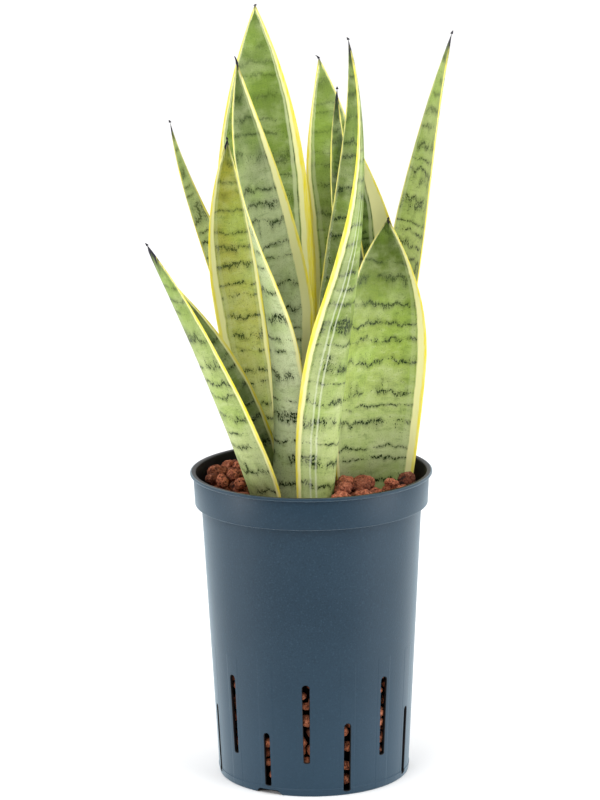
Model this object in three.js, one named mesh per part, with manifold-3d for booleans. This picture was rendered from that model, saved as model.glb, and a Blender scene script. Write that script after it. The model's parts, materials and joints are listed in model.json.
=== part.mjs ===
// Potted snake plant: eleven channelled leaves standing in expanded clay pebbles,
// in a tall slotted culture pot. Millimetres and degrees, +Z up, front towards -Y.
// The origin is the centre of the pot's flat underside.

import * as THREE from "three";
import { mergeVertices } from "three/addons/utils/BufferGeometryUtils.js";
import Module from "manifold-3d";

const wasm = await Module();
wasm.setup();

// ---------------------------------------------------------------- driving dimensions

// Culture pot
const POT_HEIGHT = 191.5;
const LIP_RADIUS = 74.5;
const FOOT_RADIUS = 59;
const WALL = 1.6;
const FLOOR = 2;
const BAND_DEPTH = 20.3; // the deep rim band, from the lip's top to the ledge under it
const BAND_STEP = 4; // how far the band stands out from the wall below it
const BAND_DRAFT = 0.8; // how much narrower the band is at its lower edge
const LIP_PROUD = 2; // how far the lip's bead stands out from the band
const LIP_DEPTH = 2;
const LEDGE_EASE = 0.6; // how far the band's lower corner is eased
const FOOT_CHAMFER = 0.8;
const POT_SIDES = 60;

// Slots in the wall, alternately high and low
const SLOT_COUNT = 15;
const SLOT_TURN = -4.2; // the first high slot, measured from the front towards +X
const HIGH_SLOT = { low: 21.7, high: 71.8, lowWidth: 3.5, highWidth: 4.5 };
const LOW_SLOT = { low: 2.6, high: 46, lowWidth: 4, highWidth: 4 };
const SHORT_SLOT = { low: 5.4, high: 39.2, lowWidth: 3.8, highWidth: 3.6 };
const SHORT_SLOT_PLACES = [-1]; // low slots that end above a drain notch

// Drain notches cut in the foot's edge
const NOTCH_COUNT = 3;
const NOTCH_WIDTH = 18.5;
const NOTCH_HEIGHT = 2.9;
const NOTCH_RUNOUT = 3; // the slope at each end of a notch
const NOTCH_REACH = 6; // how far a notch runs in under the pot
const NOTCH_TURN = -28.2;

// Clay
const CLAY_BELOW_LIP = 20; // the packed bed's top, under the loose top layer
const CLEARANCE = 0.3; // the gap kept between pieces that touch
const TOP_PEBBLES = 42;
const PEBBLE_LARGEST = 6.6; // radius, in a pot of the full size
const PEBBLE_SMALLEST = 4.3;
const PEBBLE_SEED = 23;

// Rhizomes, lying in the bed under the leaves
const RHIZOME_DEPTH = 13;
const RHIZOME_THICKNESS = 15;

// Leaves
const LEAF_FOOT_THICKNESS = 3.6;
const LEAF_TIP_THICKNESS = 1.6;
const LEAF_LENGTH = 1; // all leaves together: 1 is full grown
const LEAF_STEPS = 18;
const LEAF_EDGE_POINTS = 16; // points round a leaf's section

// Each leaf: foot and tip are where its spine starts and ends across the pot, rise is how far
// the tip stands above the foot, and lowBow and highBow push the spine sideways at one and two
// thirds of its length. width is the greatest width, measured round the channel, at the share
// widestAt of the length; footShare is the foot's width against it, and taper shapes the point.
// facing is the way the channel opens, turned from +X, and channel is how many degrees of arc
// it is rolled into, both given at the foot, the middle and the tip.
const LEAVES = [
  {
    name: "leaf_tall_back_left",
    foot: [-19, 36], tip: [-31.5, 44], rise: 301, lowBow: [-6, 4], highBow: [-2, 3.5],
    width: 63, widestAt: 0.45, footShare: 0.61, taper: 2.4,
    facing: [-87, -84, -81], channel: [68, 60, 49],
  },
  {
    name: "leaf_channelled_centre_left",
    foot: [-23, -5.5], tip: [-42, -7.5], rise: 273, lowBow: [14, -1], highBow: [3.5, -1.5],
    width: 66, widestAt: 0.43, footShare: 0.66, taper: 1.2,
    facing: [4, -25, -105], channel: [170, 170, 20],
  },
  {
    name: "leaf_broad_left",
    foot: [-26.5, 23], tip: [-49, 16], rise: 223, lowBow: [-0.5, 0], highBow: [-11, 0],
    width: 32, widestAt: 0.58, footShare: 0.6, taper: 2,
    facing: [-67, -92, -91], channel: [79, 65, 51],
  },
  {
    name: "leaf_twisted_centre",
    foot: [7, -28.5], tip: [24.5, -23.5], rise: 288, lowBow: [7, 2.5], highBow: [25, 3.5],
    width: 66, widestAt: 0.4, footShare: 0.52, taper: 1.2,
    facing: [-231, -175, -150], channel: [170, 170, 85],
  },
  {
    name: "leaf_leaning_right",
    foot: [28, 50], tip: [89, 56], rise: 281, lowBow: [15, -1], highBow: [-1.5, 2.5],
    width: 39, widestAt: 0.49, footShare: 0.6, taper: 1.8,
    facing: [-134, -149, -162], channel: [93, 69, 63],
  },
  {
    name: "leaf_broad_front_right",
    foot: [40, 22], tip: [48.5, 15], rise: 173, lowBow: [-7.5, 0], highBow: [-0.5, -1],
    width: 63, widestAt: 0.48, footShare: 0.73, taper: 1.9,
    facing: [-96, -65, -100], channel: [46, 74, 31],
  },
  {
    name: "leaf_back_centre",
    foot: [16, 42], tip: [7, 46], rise: 268, lowBow: [7.5, 0], highBow: [12.5, 0],
    width: 34, widestAt: 0.73, footShare: 0.6, taper: 1.5,
    facing: [-88, -102, -89], channel: [69, 64, 51],
  },
  {
    name: "leaf_slender_inner",
    foot: [34, 30.5], tip: [18, 23.5], rise: 252, lowBow: [17, 0.5], highBow: [-8, 1.5],
    width: 20, widestAt: 0.48, footShare: 0.65, taper: 2.1,
    facing: [-105, -110, -112], channel: [80, 75, 59],
  },
  {
    name: "leaf_back_right",
    foot: [38.5, 35], tip: [27, 34], rise: 222, lowBow: [10.5, 0], highBow: [5, 0.5],
    width: 46, widestAt: 0.54, footShare: 0.6, taper: 2,
    facing: [-102, -90, -107], channel: [71, 55, 53],
  },
  {
    name: "leaf_leaning_left",
    foot: [-30.5, 52], tip: [-85, 54], rise: 228, lowBow: [32.5, 0.5], highBow: [-5, -0.5],
    width: 28, widestAt: 0.34, footShare: 0.6, taper: 1.2,
    facing: [-72, -61, -52], channel: [90, 82, 61],
  },
  {
    name: "leaf_low_front_left",
    foot: [-34, -7], tip: [-96.5, -38.5], rise: 168, lowBow: [5, 1.5], highBow: [2, -3.5],
    width: 66, widestAt: 0.2, footShare: 0.85, taper: 2.7,
    facing: [2, 2, 24], channel: [170, 142, 40],
  },
];

// Each rhizome runs straight between the feet of the leaves that grow from it.
const RHIZOMES = [
  { name: "rhizome_front", from: [-34, -7], to: [7, -20] },
  { name: "rhizome_left", from: [-25, 24], to: [-26, 48] },
  { name: "rhizome_right", from: [22, 38], to: [40, 28] },
];

// ---------------------------------------------------------------- what follows from them

const BAND_TOP_RADIUS = LIP_RADIUS - LIP_PROUD;
const BAND_LOW_RADIUS = BAND_TOP_RADIUS - BAND_DRAFT;
const WALL_TOP_RADIUS = BAND_LOW_RADIUS - BAND_STEP;
const BAND_LOW = POT_HEIGHT - BAND_DEPTH;
const CLAY_TOP = POT_HEIGHT - CLAY_BELOW_LIP;
const FOOT_LEVEL = CLAY_TOP + CLEARANCE;

// Radius of the wall's outside at a height, below the band.
const wallRadius = (z) => THREE.MathUtils.lerp(FOOT_RADIUS, WALL_TOP_RADIUS, z / BAND_LOW);

// The plant fills its pot: everything across it grows with the clay's radius.
const CLAY_RADIUS = WALL_TOP_RADIUS - WALL - CLEARANCE;
const FULL_CLAY_RADIUS = 65.8;
const SPREAD = CLAY_RADIUS / FULL_CLAY_RADIUS;

const radians = THREE.MathUtils.degToRad;

// ---------------------------------------------------------------- materials

const material = (color, roughness) =>
  new THREE.MeshStandardMaterial({ color, roughness, metalness: 0 });
const potPlastic = () => material(0x4d6b80, 0.55);
const leafSkin = () => material(0x9fb56c, 0.5);
const firedClay = () => material(0x8f5640, 0.95);
const rhizomeSkin = () => material(0xb9a06a, 0.8);

// ---------------------------------------------------------------- solids

// A three.js geometry as a solid that can be cut and joined.
function solid(geometry) {
  const bare = geometry.clone();
  bare.deleteAttribute("normal");
  bare.deleteAttribute("uv");
  const merged = mergeVertices(bare, 1e-4);
  return new wasm.Manifold(
    new wasm.Mesh({
      numProp: 3,
      vertProperties: new Float32Array(merged.attributes.position.array),
      triVerts: new Uint32Array(merged.index.array),
    }),
  );
}

function geometryOf(made) {
  const mesh = made.getMesh();
  const geometry = new THREE.BufferGeometry();
  geometry.setAttribute("position", new THREE.BufferAttribute(mesh.vertProperties, 3));
  geometry.setIndex(new THREE.BufferAttribute(mesh.triVerts, 1));
  geometry.computeVertexNormals();
  return geometry;
}

// A solid turned about the pot's axis from [radius, height] points, bottom first.
function turned(profile) {
  const points = profile.map(([radius, height]) => new THREE.Vector2(radius, height));
  return new THREE.LatheGeometry(points, POT_SIDES).rotateX(Math.PI / 2);
}

// An upright outline pushed outwards through the wall, at a turn from the front.
function wallCutter(shape, inner, outer, turn) {
  return new THREE.ExtrudeGeometry(shape, {
    depth: outer - inner,
    bevelEnabled: false,
    curveSegments: 5,
  })
    .rotateX(Math.PI / 2)
    .translate(0, -inner, 0)
    .rotateZ(radians(turn));
}

// ---------------------------------------------------------------- pot

function potProfile() {
  const inside = (radius) => radius - WALL;
  return [
    [0, 0],
    [FOOT_RADIUS - FOOT_CHAMFER, 0],
    [wallRadius(FOOT_CHAMFER), FOOT_CHAMFER],
    [WALL_TOP_RADIUS, BAND_LOW],
    [BAND_LOW_RADIUS - LEDGE_EASE, BAND_LOW],
    [BAND_LOW_RADIUS, BAND_LOW + LEDGE_EASE],
    [BAND_TOP_RADIUS, POT_HEIGHT - LIP_DEPTH - 1],
    [BAND_TOP_RADIUS - 0.4, POT_HEIGHT - LIP_DEPTH],
    [LIP_RADIUS - 0.3, POT_HEIGHT - LIP_DEPTH + 0.5],
    [LIP_RADIUS, POT_HEIGHT - 0.5 * LIP_DEPTH],
    [LIP_RADIUS - 0.6, POT_HEIGHT],
    [BAND_TOP_RADIUS - 0.3, POT_HEIGHT],
    [inside(BAND_TOP_RADIUS), POT_HEIGHT - LIP_DEPTH],
    [inside(BAND_LOW_RADIUS), BAND_LOW + WALL],
    [inside(WALL_TOP_RADIUS), BAND_LOW + WALL],
    [inside(wallRadius(FLOOR)), FLOOR],
    [0, FLOOR],
  ];
}

// A slot with a round end at the top and the bottom.
function slotOutline({ low, high, lowWidth, highWidth }) {
  const lowRadius = lowWidth / 2;
  const highRadius = highWidth / 2;
  const shape = new THREE.Shape();
  shape.absarc(0, low + lowRadius, lowRadius, Math.PI, 2 * Math.PI);
  shape.absarc(0, high - highRadius, highRadius, 0, Math.PI);
  shape.closePath();
  return shape;
}

function notchOutline() {
  const half = NOTCH_WIDTH / 2;
  const below = -1;
  return new THREE.Shape([
    new THREE.Vector2(-half, below),
    new THREE.Vector2(half, below),
    new THREE.Vector2(half, 0),
    new THREE.Vector2(half - NOTCH_RUNOUT, NOTCH_HEIGHT),
    new THREE.Vector2(-half + NOTCH_RUNOUT, NOTCH_HEIGHT),
    new THREE.Vector2(-half, 0),
  ]);
}

function slotAt(place) {
  if (place % 2 === 0) return HIGH_SLOT;
  return SHORT_SLOT_PLACES.includes(place) ? SHORT_SLOT : LOW_SLOT;
}

function potGeometry() {
  let pot = solid(turned(potProfile()));
  const beyond = LIP_RADIUS + 5;
  const farthest = (SLOT_COUNT - 1) / 2;
  for (let place = -farthest; place <= farthest; place++) {
    const turn = SLOT_TURN + (place * 360) / SLOT_COUNT;
    const slot = slotAt(place);
    const inner = wallRadius(slot.low) - 2.5 * WALL;
    pot = pot.subtract(solid(wallCutter(slotOutline(slot), inner, beyond, turn)));
  }
  for (let k = 0; k < NOTCH_COUNT; k++) {
    const turn = NOTCH_TURN + (k * 360) / NOTCH_COUNT;
    const inner = FOOT_RADIUS - NOTCH_REACH;
    pot = pot.subtract(solid(wallCutter(notchOutline(), inner, beyond, turn)));
  }
  return geometryOf(pot);
}

// ---------------------------------------------------------------- clay bed and rhizomes

// A straight bar with round ends, standing upright.
function barGeometry([x1, y1], [x2, y2], thickness, low, high) {
  const radius = thickness / 2;
  const length = Math.hypot(x2 - x1, y2 - y1);
  const shape = new THREE.Shape();
  shape.absarc(length, 0, radius, -Math.PI / 2, Math.PI / 2);
  shape.absarc(0, 0, radius, Math.PI / 2, (3 * Math.PI) / 2);
  shape.closePath();
  return new THREE.ExtrudeGeometry(shape, {
    depth: high - low,
    bevelEnabled: false,
    curveSegments: 8,
  })
    .rotateZ(Math.atan2(y2 - y1, x2 - x1))
    .translate(x1, y1, low);
}

const spreadOut = ([x, y]) => [x * SPREAD, y * SPREAD];

function rhizomeGeometry({ from, to }) {
  const low = CLAY_TOP - RHIZOME_DEPTH;
  return barGeometry(spreadOut(from), spreadOut(to), RHIZOME_THICKNESS, low, CLAY_TOP);
}

function clayBedGeometry() {
  const inset = WALL + CLEARANCE;
  const floor = FLOOR + CLEARANCE;
  let bed = solid(
    turned([
      [0, floor],
      [wallRadius(floor) - inset, floor],
      [CLAY_RADIUS, CLAY_TOP],
      [0, CLAY_TOP],
    ]),
  );
  const pocketFloor = CLAY_TOP - RHIZOME_DEPTH - CLEARANCE;
  for (const { from, to } of RHIZOMES) {
    const width = RHIZOME_THICKNESS + 2 * CLEARANCE;
    const pocket = barGeometry(
      spreadOut(from), spreadOut(to), width, pocketFloor, CLAY_TOP + CLEARANCE,
    );
    bed = bed.subtract(solid(pocket));
  }
  return geometryOf(bed);
}

// ---------------------------------------------------------------- leaves

// A smooth change through three values, at the foot, the middle and the tip.
function through([foot, middle, tip], s) {
  return foot * (1 - s) * (1 - 2 * s) + 4 * middle * s * (1 - s) + tip * s * (2 * s - 1);
}

function leafWidth(leaf, s) {
  if (s < leaf.widestAt) {
    const rise = Math.sin(((s / leaf.widestAt) * Math.PI) / 2);
    return leaf.width * SPREAD * THREE.MathUtils.lerp(leaf.footShare, 1, rise);
  }
  const along = (s - leaf.widestAt) / (1 - leaf.widestAt);
  return leaf.width * SPREAD * (1 - along ** leaf.taper);
}

// The line that a leaf's midrib follows.
function leafSpine(leaf) {
  const [footX, footY] = spreadOut(leaf.foot);
  const foot = new THREE.Vector3(footX, footY, FOOT_LEVEL);
  const [tipX, tipY] = spreadOut(leaf.tip);
  const tip = new THREE.Vector3(tipX, tipY, FOOT_LEVEL + leaf.rise * LEAF_LENGTH);
  const bowed = (share, bow) => {
    const [x, y] = spreadOut(bow);
    return foot.clone().lerp(tip, share).add(new THREE.Vector3(x, y, 0));
  };
  return new THREE.CubicBezierCurve3(
    foot, bowed(1 / 3, leaf.lowBow), bowed(2 / 3, leaf.highBow), tip,
  );
}

// One station of a leaf: a function from (across, lift) to a point. across runs from -1 at one
// margin to 1 at the other, and lift is the distance off the middle sheet, towards the channel.
function leafStation(leaf, spine, s) {
  const centre = spine.getPoint(s);
  const along = spine.getTangent(s);
  const facing = radians(through(leaf.facing, s));
  const open = new THREE.Vector3(Math.cos(facing), Math.sin(facing), 0);
  open.addScaledVector(along, -open.dot(along)).normalize();
  const side = new THREE.Vector3().crossVectors(along, open);
  const roll = radians(Math.max(through(leaf.channel, s), 8));
  const radius = leafWidth(leaf, s) / roll;
  const levelling = Math.min(1, s / 0.08); // the foot is cut level
  return (across, lift) => {
    const angle = (roll * across) / 2;
    const reach = radius - lift;
    const point = centre
      .clone()
      .addScaledVector(side, reach * Math.sin(angle))
      .addScaledVector(open, radius - reach * Math.cos(angle));
    point.z = THREE.MathUtils.lerp(centre.z, point.z, levelling);
    return point;
  };
}

function leafGeometry(leaf) {
  const spine = leafSpine(leaf);
  const round = LEAF_EDGE_POINTS;
  const positions = [];
  for (let step = 0; step < LEAF_STEPS; step++) {
    const s = Math.sin(((step / LEAF_STEPS) * Math.PI) / 2) ** 1.25;
    const full = THREE.MathUtils.lerp(LEAF_FOOT_THICKNESS, LEAF_TIP_THICKNESS, s);
    const half = Math.min(full / 2, leafWidth(leaf, s) * 0.15);
    const at = leafStation(leaf, spine, s);
    for (let k = 0; k < round; k++) {
      const turn = (2 * Math.PI * k) / round;
      positions.push(...at(Math.cos(turn), half * Math.sin(turn)).toArray());
    }
  }
  positions.push(...spine.getPoint(1).toArray());

  const faces = [];
  for (let step = 0; step < LEAF_STEPS - 1; step++) {
    for (let k = 0; k < round; k++) {
      const a = step * round + k;
      const b = step * round + ((k + 1) % round);
      faces.push(a, a + round, b, b, a + round, b + round);
    }
  }
  const last = (LEAF_STEPS - 1) * round;
  const apex = LEAF_STEPS * round;
  for (let k = 0; k < round; k++) faces.push(last + k, apex, last + ((k + 1) % round));
  // The foot's cut face is a crescent, closed by strips from one skin to the other.
  for (let k = 0; k < round / 2; k++) {
    const inner = k;
    const innerNext = k + 1;
    const outer = (round - k) % round;
    const outerNext = round - k - 1;
    if (inner !== outer) faces.push(inner, innerNext, outer);
    if (innerNext !== outerNext) faces.push(innerNext, outerNext, outer);
  }
  const geometry = new THREE.BufferGeometry();
  geometry.setAttribute("position", new THREE.Float32BufferAttribute(positions, 3));
  geometry.setIndex(faces);
  geometry.computeVertexNormals();
  return geometry;
}

// ---------------------------------------------------------------- loose pebbles

// Repeatable random numbers from 0 to 1.
function randomFrom(seed) {
  let state = seed;
  return () => {
    state = (state * 48271) % 2147483647;
    return state / 2147483647;
  };
}

// A lumpy, slightly flattened pebble of about the given radius, resting on the bed.
function pebbleGeometry(radius, random) {
  const ball = new THREE.IcosahedronGeometry(radius, 1);
  ball.deleteAttribute("normal");
  ball.deleteAttribute("uv");
  const pebble = mergeVertices(ball, 1e-3);
  const phase = [random() * 6, random() * 6, random() * 6];
  const position = pebble.getAttribute("position");
  const point = new THREE.Vector3();
  for (let i = 0; i < position.count; i++) {
    point.fromBufferAttribute(position, i);
    const lump =
      Math.sin((3 * point.x) / radius + phase[0]) * Math.sin((3 * point.y) / radius + phase[1]) +
      Math.sin((2 * point.z) / radius + phase[2]);
    point.multiplyScalar(0.94 + 0.03 * lump);
    position.setXYZ(i, point.x, point.y, point.z);
  }
  pebble.scale(1, 0.8 + 0.15 * random(), 0.72 + 0.15 * random());
  pebble.rotateX((random() - 0.5) * 0.8);
  pebble.rotateZ(random() * Math.PI);
  pebble.computeBoundingBox();
  pebble.translate(0, 0, FOOT_LEVEL - pebble.boundingBox.min.z);
  pebble.computeVertexNormals();
  return pebble;
}

// Points down the lowest part of every leaf, which pebbles keep clear of.
function leafFootPoints() {
  const points = [];
  for (const leaf of LEAVES) {
    const spine = leafSpine(leaf);
    for (let s = 0; s < 0.14; s += 0.02) {
      const at = leafStation(leaf, spine, s);
      for (let across = -1; across <= 1.001; across += 0.125) points.push(at(across, 0));
    }
  }
  return points;
}

// Places for the loose pebbles, the largest first, clear of leaves, pot and each other.
function pebblePlaces() {
  const random = randomFrom(PEBBLE_SEED);
  const leafPoints = leafFootPoints();
  const places = [];
  for (let i = 0; i < TOP_PEBBLES; i++) {
    const share = i / (TOP_PEBBLES - 1);
    const radius = SPREAD * THREE.MathUtils.lerp(PEBBLE_LARGEST, PEBBLE_SMALLEST, share);
    const limit = CLAY_RADIUS - radius - CLEARANCE;
    const leafGap = radius + LEAF_FOOT_THICKNESS / 2 + CLEARANCE;
    for (let attempt = 0; attempt < 3000; attempt++) {
      const away = limit * Math.sqrt(random());
      const turn = 2 * Math.PI * random();
      const centre = new THREE.Vector3(
        away * Math.cos(turn), away * Math.sin(turn), FOOT_LEVEL + 0.8 * radius,
      );
      const clearOfLeaves = leafPoints.every((p) => p.distanceTo(centre) > leafGap);
      const clearOfPebbles = places.every(
        (other) => other.centre.distanceTo(centre) > other.radius + radius + CLEARANCE,
      );
      if (clearOfLeaves && clearOfPebbles) {
        places.push({ centre, radius });
        break;
      }
    }
  }
  return places;
}

// ---------------------------------------------------------------- the plant in its pot

const plant = new THREE.Group();

function add(name, geometry, skin) {
  const mesh = new THREE.Mesh(geometry, skin);
  mesh.name = name;
  plant.add(mesh);
  return mesh;
}

add("culture_pot", potGeometry(), potPlastic());
add("clay_pebble_bed", clayBedGeometry(), firedClay());
for (const rhizome of RHIZOMES) add(rhizome.name, rhizomeGeometry(rhizome), rhizomeSkin());
for (const leaf of LEAVES) add(leaf.name, leafGeometry(leaf), leafSkin());

const pebbleRandom = randomFrom(PEBBLE_SEED + 1);
pebblePlaces().forEach(({ centre, radius }, index) => {
  const name = "clay_pebble_" + String(index + 1).padStart(2, "0");
  const pebble = add(name, pebbleGeometry(radius, pebbleRandom), firedClay());
  pebble.position.set(centre.x, centre.y, 0);
});

export default plant;
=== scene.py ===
"""Looks for a potted snake plant: channelled, yellow-edged leaves in expanded clay pebbles,
in a slotted culture pot. Metres, +Z up, front towards -Y, origin under the pot's middle.
"""

import json
import math
from collections import namedtuple

import bmesh
import bpy
from mathutils import Matrix, Vector

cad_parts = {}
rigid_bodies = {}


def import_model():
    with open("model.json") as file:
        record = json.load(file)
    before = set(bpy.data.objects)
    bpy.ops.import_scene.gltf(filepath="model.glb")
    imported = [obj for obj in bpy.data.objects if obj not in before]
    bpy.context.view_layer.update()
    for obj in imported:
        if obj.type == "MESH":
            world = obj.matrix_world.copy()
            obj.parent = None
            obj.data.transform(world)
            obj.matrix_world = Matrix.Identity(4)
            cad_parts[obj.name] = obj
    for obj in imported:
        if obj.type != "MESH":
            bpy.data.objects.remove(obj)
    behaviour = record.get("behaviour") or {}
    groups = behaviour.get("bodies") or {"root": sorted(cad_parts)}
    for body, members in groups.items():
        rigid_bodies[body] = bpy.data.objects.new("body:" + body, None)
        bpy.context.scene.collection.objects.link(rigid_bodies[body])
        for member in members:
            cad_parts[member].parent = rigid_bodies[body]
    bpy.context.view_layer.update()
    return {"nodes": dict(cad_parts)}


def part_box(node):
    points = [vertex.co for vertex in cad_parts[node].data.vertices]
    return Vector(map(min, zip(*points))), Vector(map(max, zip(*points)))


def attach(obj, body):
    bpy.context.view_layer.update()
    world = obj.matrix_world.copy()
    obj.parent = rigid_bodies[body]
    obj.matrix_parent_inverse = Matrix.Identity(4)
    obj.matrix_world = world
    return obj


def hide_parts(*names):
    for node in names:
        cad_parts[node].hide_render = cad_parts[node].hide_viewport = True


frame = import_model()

bl_info = {
    "name": "Potted Snake Plant",
    "version": (1, 0, 0),
    "blender": (4, 5, 0),
    "location": "3D View > Sidebar > Snake Plant",
    "description": "Builds the pot, leaves, rhizomes and clay pebbles of a potted snake plant",
    "category": "Add Mesh",
}

BODY = "root"
MM = 0.001

POT_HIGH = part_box("culture_pot")[1]
BED_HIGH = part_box("clay_pebble_bed")[1]
LOOSE_PEBBLES = sorted(name for name in frame["nodes"] if name.startswith("clay_pebble_")
                       and name != "clay_pebble_bed")
CLEARANCE = 0.3 * MM
FOOT_LEVEL = BED_HIGH.z + CLEARANCE


def paint(red, green, blue):
    """A colour as mixed on a screen, 0 to 255, turned into linear light."""
    def linear(value):
        value /= 255
        return value / 12.92 if value <= 0.04045 else ((value + 0.055) / 1.055) ** 2.4
    return linear(red), linear(green), linear(blue)


# ---------------------------------------------------------------- the leaves' shapes

# Foot and tip are where a leaf's spine starts and ends across the pot, rise is how far the tip
# stands above the foot, and low_bow and high_bow push the spine sideways at one and two thirds.
# Width is the greatest width round the channel, at the share widest_at of the length; foot_share
# is the foot's width against it, and taper shapes the point. Facing is the way that the channel
# opens, turned from +X, and channel is the arc it is rolled into, in degrees, each at the foot,
# the middle and the tip. Spike is the length of the dry point and curl how far it bends over.
LeafShape = namedtuple("LeafShape", "name foot tip rise low_bow high_bow width widest_at foot_share "
                                    "taper facing channel spike curl")

LEAF_SHAPES = [
    LeafShape("leaf_tall_back_left", (-19, 36), (-31.5, 44), 301, (-6, 4), (-2, 3.5), 63, 0.45, 0.61,
              2.4, (-87, -84, -81), (68, 60, 49), 2, (0.8, -0.5)),
    LeafShape("leaf_channelled_centre_left", (-23, -5.5), (-42, -7.5), 273, (14, -1), (3.5, -1.5), 66,
              0.43, 0.66, 1.2, (4, -25, -105), (170, 170, 20), 5, (-0.5, 0)),
    LeafShape("leaf_broad_left", (-26.5, 23), (-49, 16), 223, (-0.5, 0), (-11, 0), 32, 0.58, 0.6,
              2, (-67, -92, -91), (79, 65, 51), 1.5, (-0.2, 0)),
    LeafShape("leaf_twisted_centre", (7, -28.5), (24.5, -23.5), 288, (7, 2.5), (25, 3.5), 66, 0.4, 0.52,
              1.2, (-231, -175, -150), (170, 170, 85), 1.5, (-0.3, 0)),
    LeafShape("leaf_leaning_right", (28, 50), (89, 56), 281, (15, -1), (-1.5, 2.5), 39, 0.49, 0.6,
              1.8, (-134, -149, -162), (93, 69, 63), 2, (0.2, 0)),
    LeafShape("leaf_broad_front_right", (40, 22), (48.5, 15), 173, (-7.5, 0), (-0.5, -1), 63, 0.48, 0.73,
              1.9, (-96, -65, -100), (46, 74, 31), 1.5, (0, 0)),
    LeafShape("leaf_back_centre", (16, 42), (7, 46), 268, (7.5, 0), (12.5, 0), 35, 0.73, 0.85,
              1.5, (-88, -102, -89), (69, 64, 51), 2, (-0.8, 0)),
    LeafShape("leaf_slender_inner", (34, 30.5), (18, 23.5), 252, (17, 0.5), (-8, 1.5), 20, 0.48, 0.65,
              2.1, (-105, -110, -112), (80, 75, 59), 1.5, (0, 0)),
    LeafShape("leaf_back_right", (38.5, 35), (27, 34), 222, (10.5, 0), (5, 0.5), 46, 0.54, 0.6,
              2, (-102, -90, -107), (71, 55, 53), 1, (0, 0)),
    LeafShape("leaf_leaning_left", (-30.5, 52), (-85, 54), 228, (32.5, 0.5), (-5, -0.5), 28, 0.34, 0.6,
              1.2, (-72, -61, -52), (90, 82, 61), 1.5, (-0.2, 0)),
    LeafShape("leaf_low_front_left", (-34, -7), (-96.5, -38.5), 168, (5, 1.5), (2, -3.5), 66, 0.2, 0.85,
              2.7, (2, 2, 24), (170, 142, 40), 1.5, (-0.3, 0)),
]

# How each leaf is coloured: its face near the foot, in the middle and near the point, the widths
# in millimetres of the yellow edge and of the cream beside it, how much wider the edge is at the
# side that is on the right when the channel faces the viewer, the strength of the pale stripe,
# the spacing in millimetres and the strength of the dark cross bands, how far in millimetres the
# dry purple-black of the point reaches down, how much painted shade darkens the channel's
# inside, and the strength of the two white hairlines beside the edge.
LeafLook = namedtuple("LeafLook", "foot middle point yellow cream skew stripe spacing bands dark "
                                  "deep hairlines", defaults=(0.0, 0.0))

LEAF_LOOKS = {
    "leaf_tall_back_left":
        LeafLook((80, 100, 24), (108, 130, 52), (98, 120, 48), 2.6, 2.6, 0.3, 0.7, 12, 0.6, 1.5),
    "leaf_channelled_centre_left":
        LeafLook((224, 232, 188), (204, 216, 164), (86, 104, 46), 1.1, 3.4, 0.5, 0.25, 13, 1, 4, 0.22),
    "leaf_broad_left":
        LeafLook((190, 194, 134), (178, 180, 90), (146, 146, 46), 1.5, 2.6, -0.3, 0.25, 11, 0.9, 5),
    # Its middle colour is darkened as painted shade, taken from where the twisted leaf turns its outer
    # side away from the light.
    "leaf_twisted_centre":
        LeafLook((178, 192, 124), (108, 126, 54), (98, 118, 48), 1.2, 1.2, 0.7, 0.3, 12.5, 1, 7,
                 0, 0.38),
    "leaf_leaning_right":
        LeafLook((184, 202, 120), (194, 210, 126), (144, 162, 82), 0.7, 0.6, 0.1, 0.4, 11, 0.95, 8),
    "leaf_broad_front_right":
        LeafLook((176, 188, 134), (146, 164, 76), (74, 94, 12), 1.3, 2.8, 0.4, 0.2, 13, 1, 3),
    "leaf_back_centre":
        LeafLook((172, 190, 114), (140, 160, 80), (116, 138, 60), 1.4, 1.8, -0.4, 0.5, 11, 0.6, 2),
    "leaf_slender_inner":
        LeafLook((62, 82, 12), (62, 82, 12), (46, 64, 14), 0.6, 0.3, 0, 0.1, 6, 1, 7),
    "leaf_back_right":
        LeafLook((84, 110, 44), (92, 118, 46), (92, 118, 46), 1.7, 11, 0.5, 0.6, 8, 0.9, 0),
    "leaf_leaning_left":
        LeafLook((208, 218, 164), (222, 232, 174), (166, 184, 114), 0.7, 0.4, 0.4, 0.2, 10, 0.95, 6),
    "leaf_low_front_left":
        LeafLook((200, 210, 150), (164, 180, 108), (116, 140, 60), 1.3, 1.0, 0, 0.1, 12, 0.95, 7, 0.9),
}


# ---------------------------------------------------------------- settings

class PotSettings(bpy.types.PropertyGroup):
    """The culture pot's sizes and colours."""

    wall: bpy.props.FloatProperty(
        name="Wall", description="Thickness of the moulded wall", default=1.6 * MM,
        min=0.0005, unit="LENGTH", subtype="DISTANCE")
    band_depth: bpy.props.FloatProperty(
        name="Band depth", description="Height of the rim band, lip included", default=20.3 * MM,
        min=0.005, unit="LENGTH", subtype="DISTANCE")
    sides: bpy.props.IntProperty(
        name="Sides", description="Facets round the pot", default=240, min=60)
    outside: bpy.props.FloatVectorProperty(
        name="Outside", description="Colour of the plastic outside", subtype="COLOR",
        default=paint(17, 42, 58), min=0, max=1)
    # Near-black of the plastic inside: painted shade, darker than the lamps make the pot's inside. The
    # slots' and notches' cut faces take it too.
    inside: bpy.props.FloatVectorProperty(
        name="Inside", description="Colour of the plastic inside, painted dark as shade", subtype="COLOR",
        default=paint(13, 14, 17), min=0, max=1)


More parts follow.
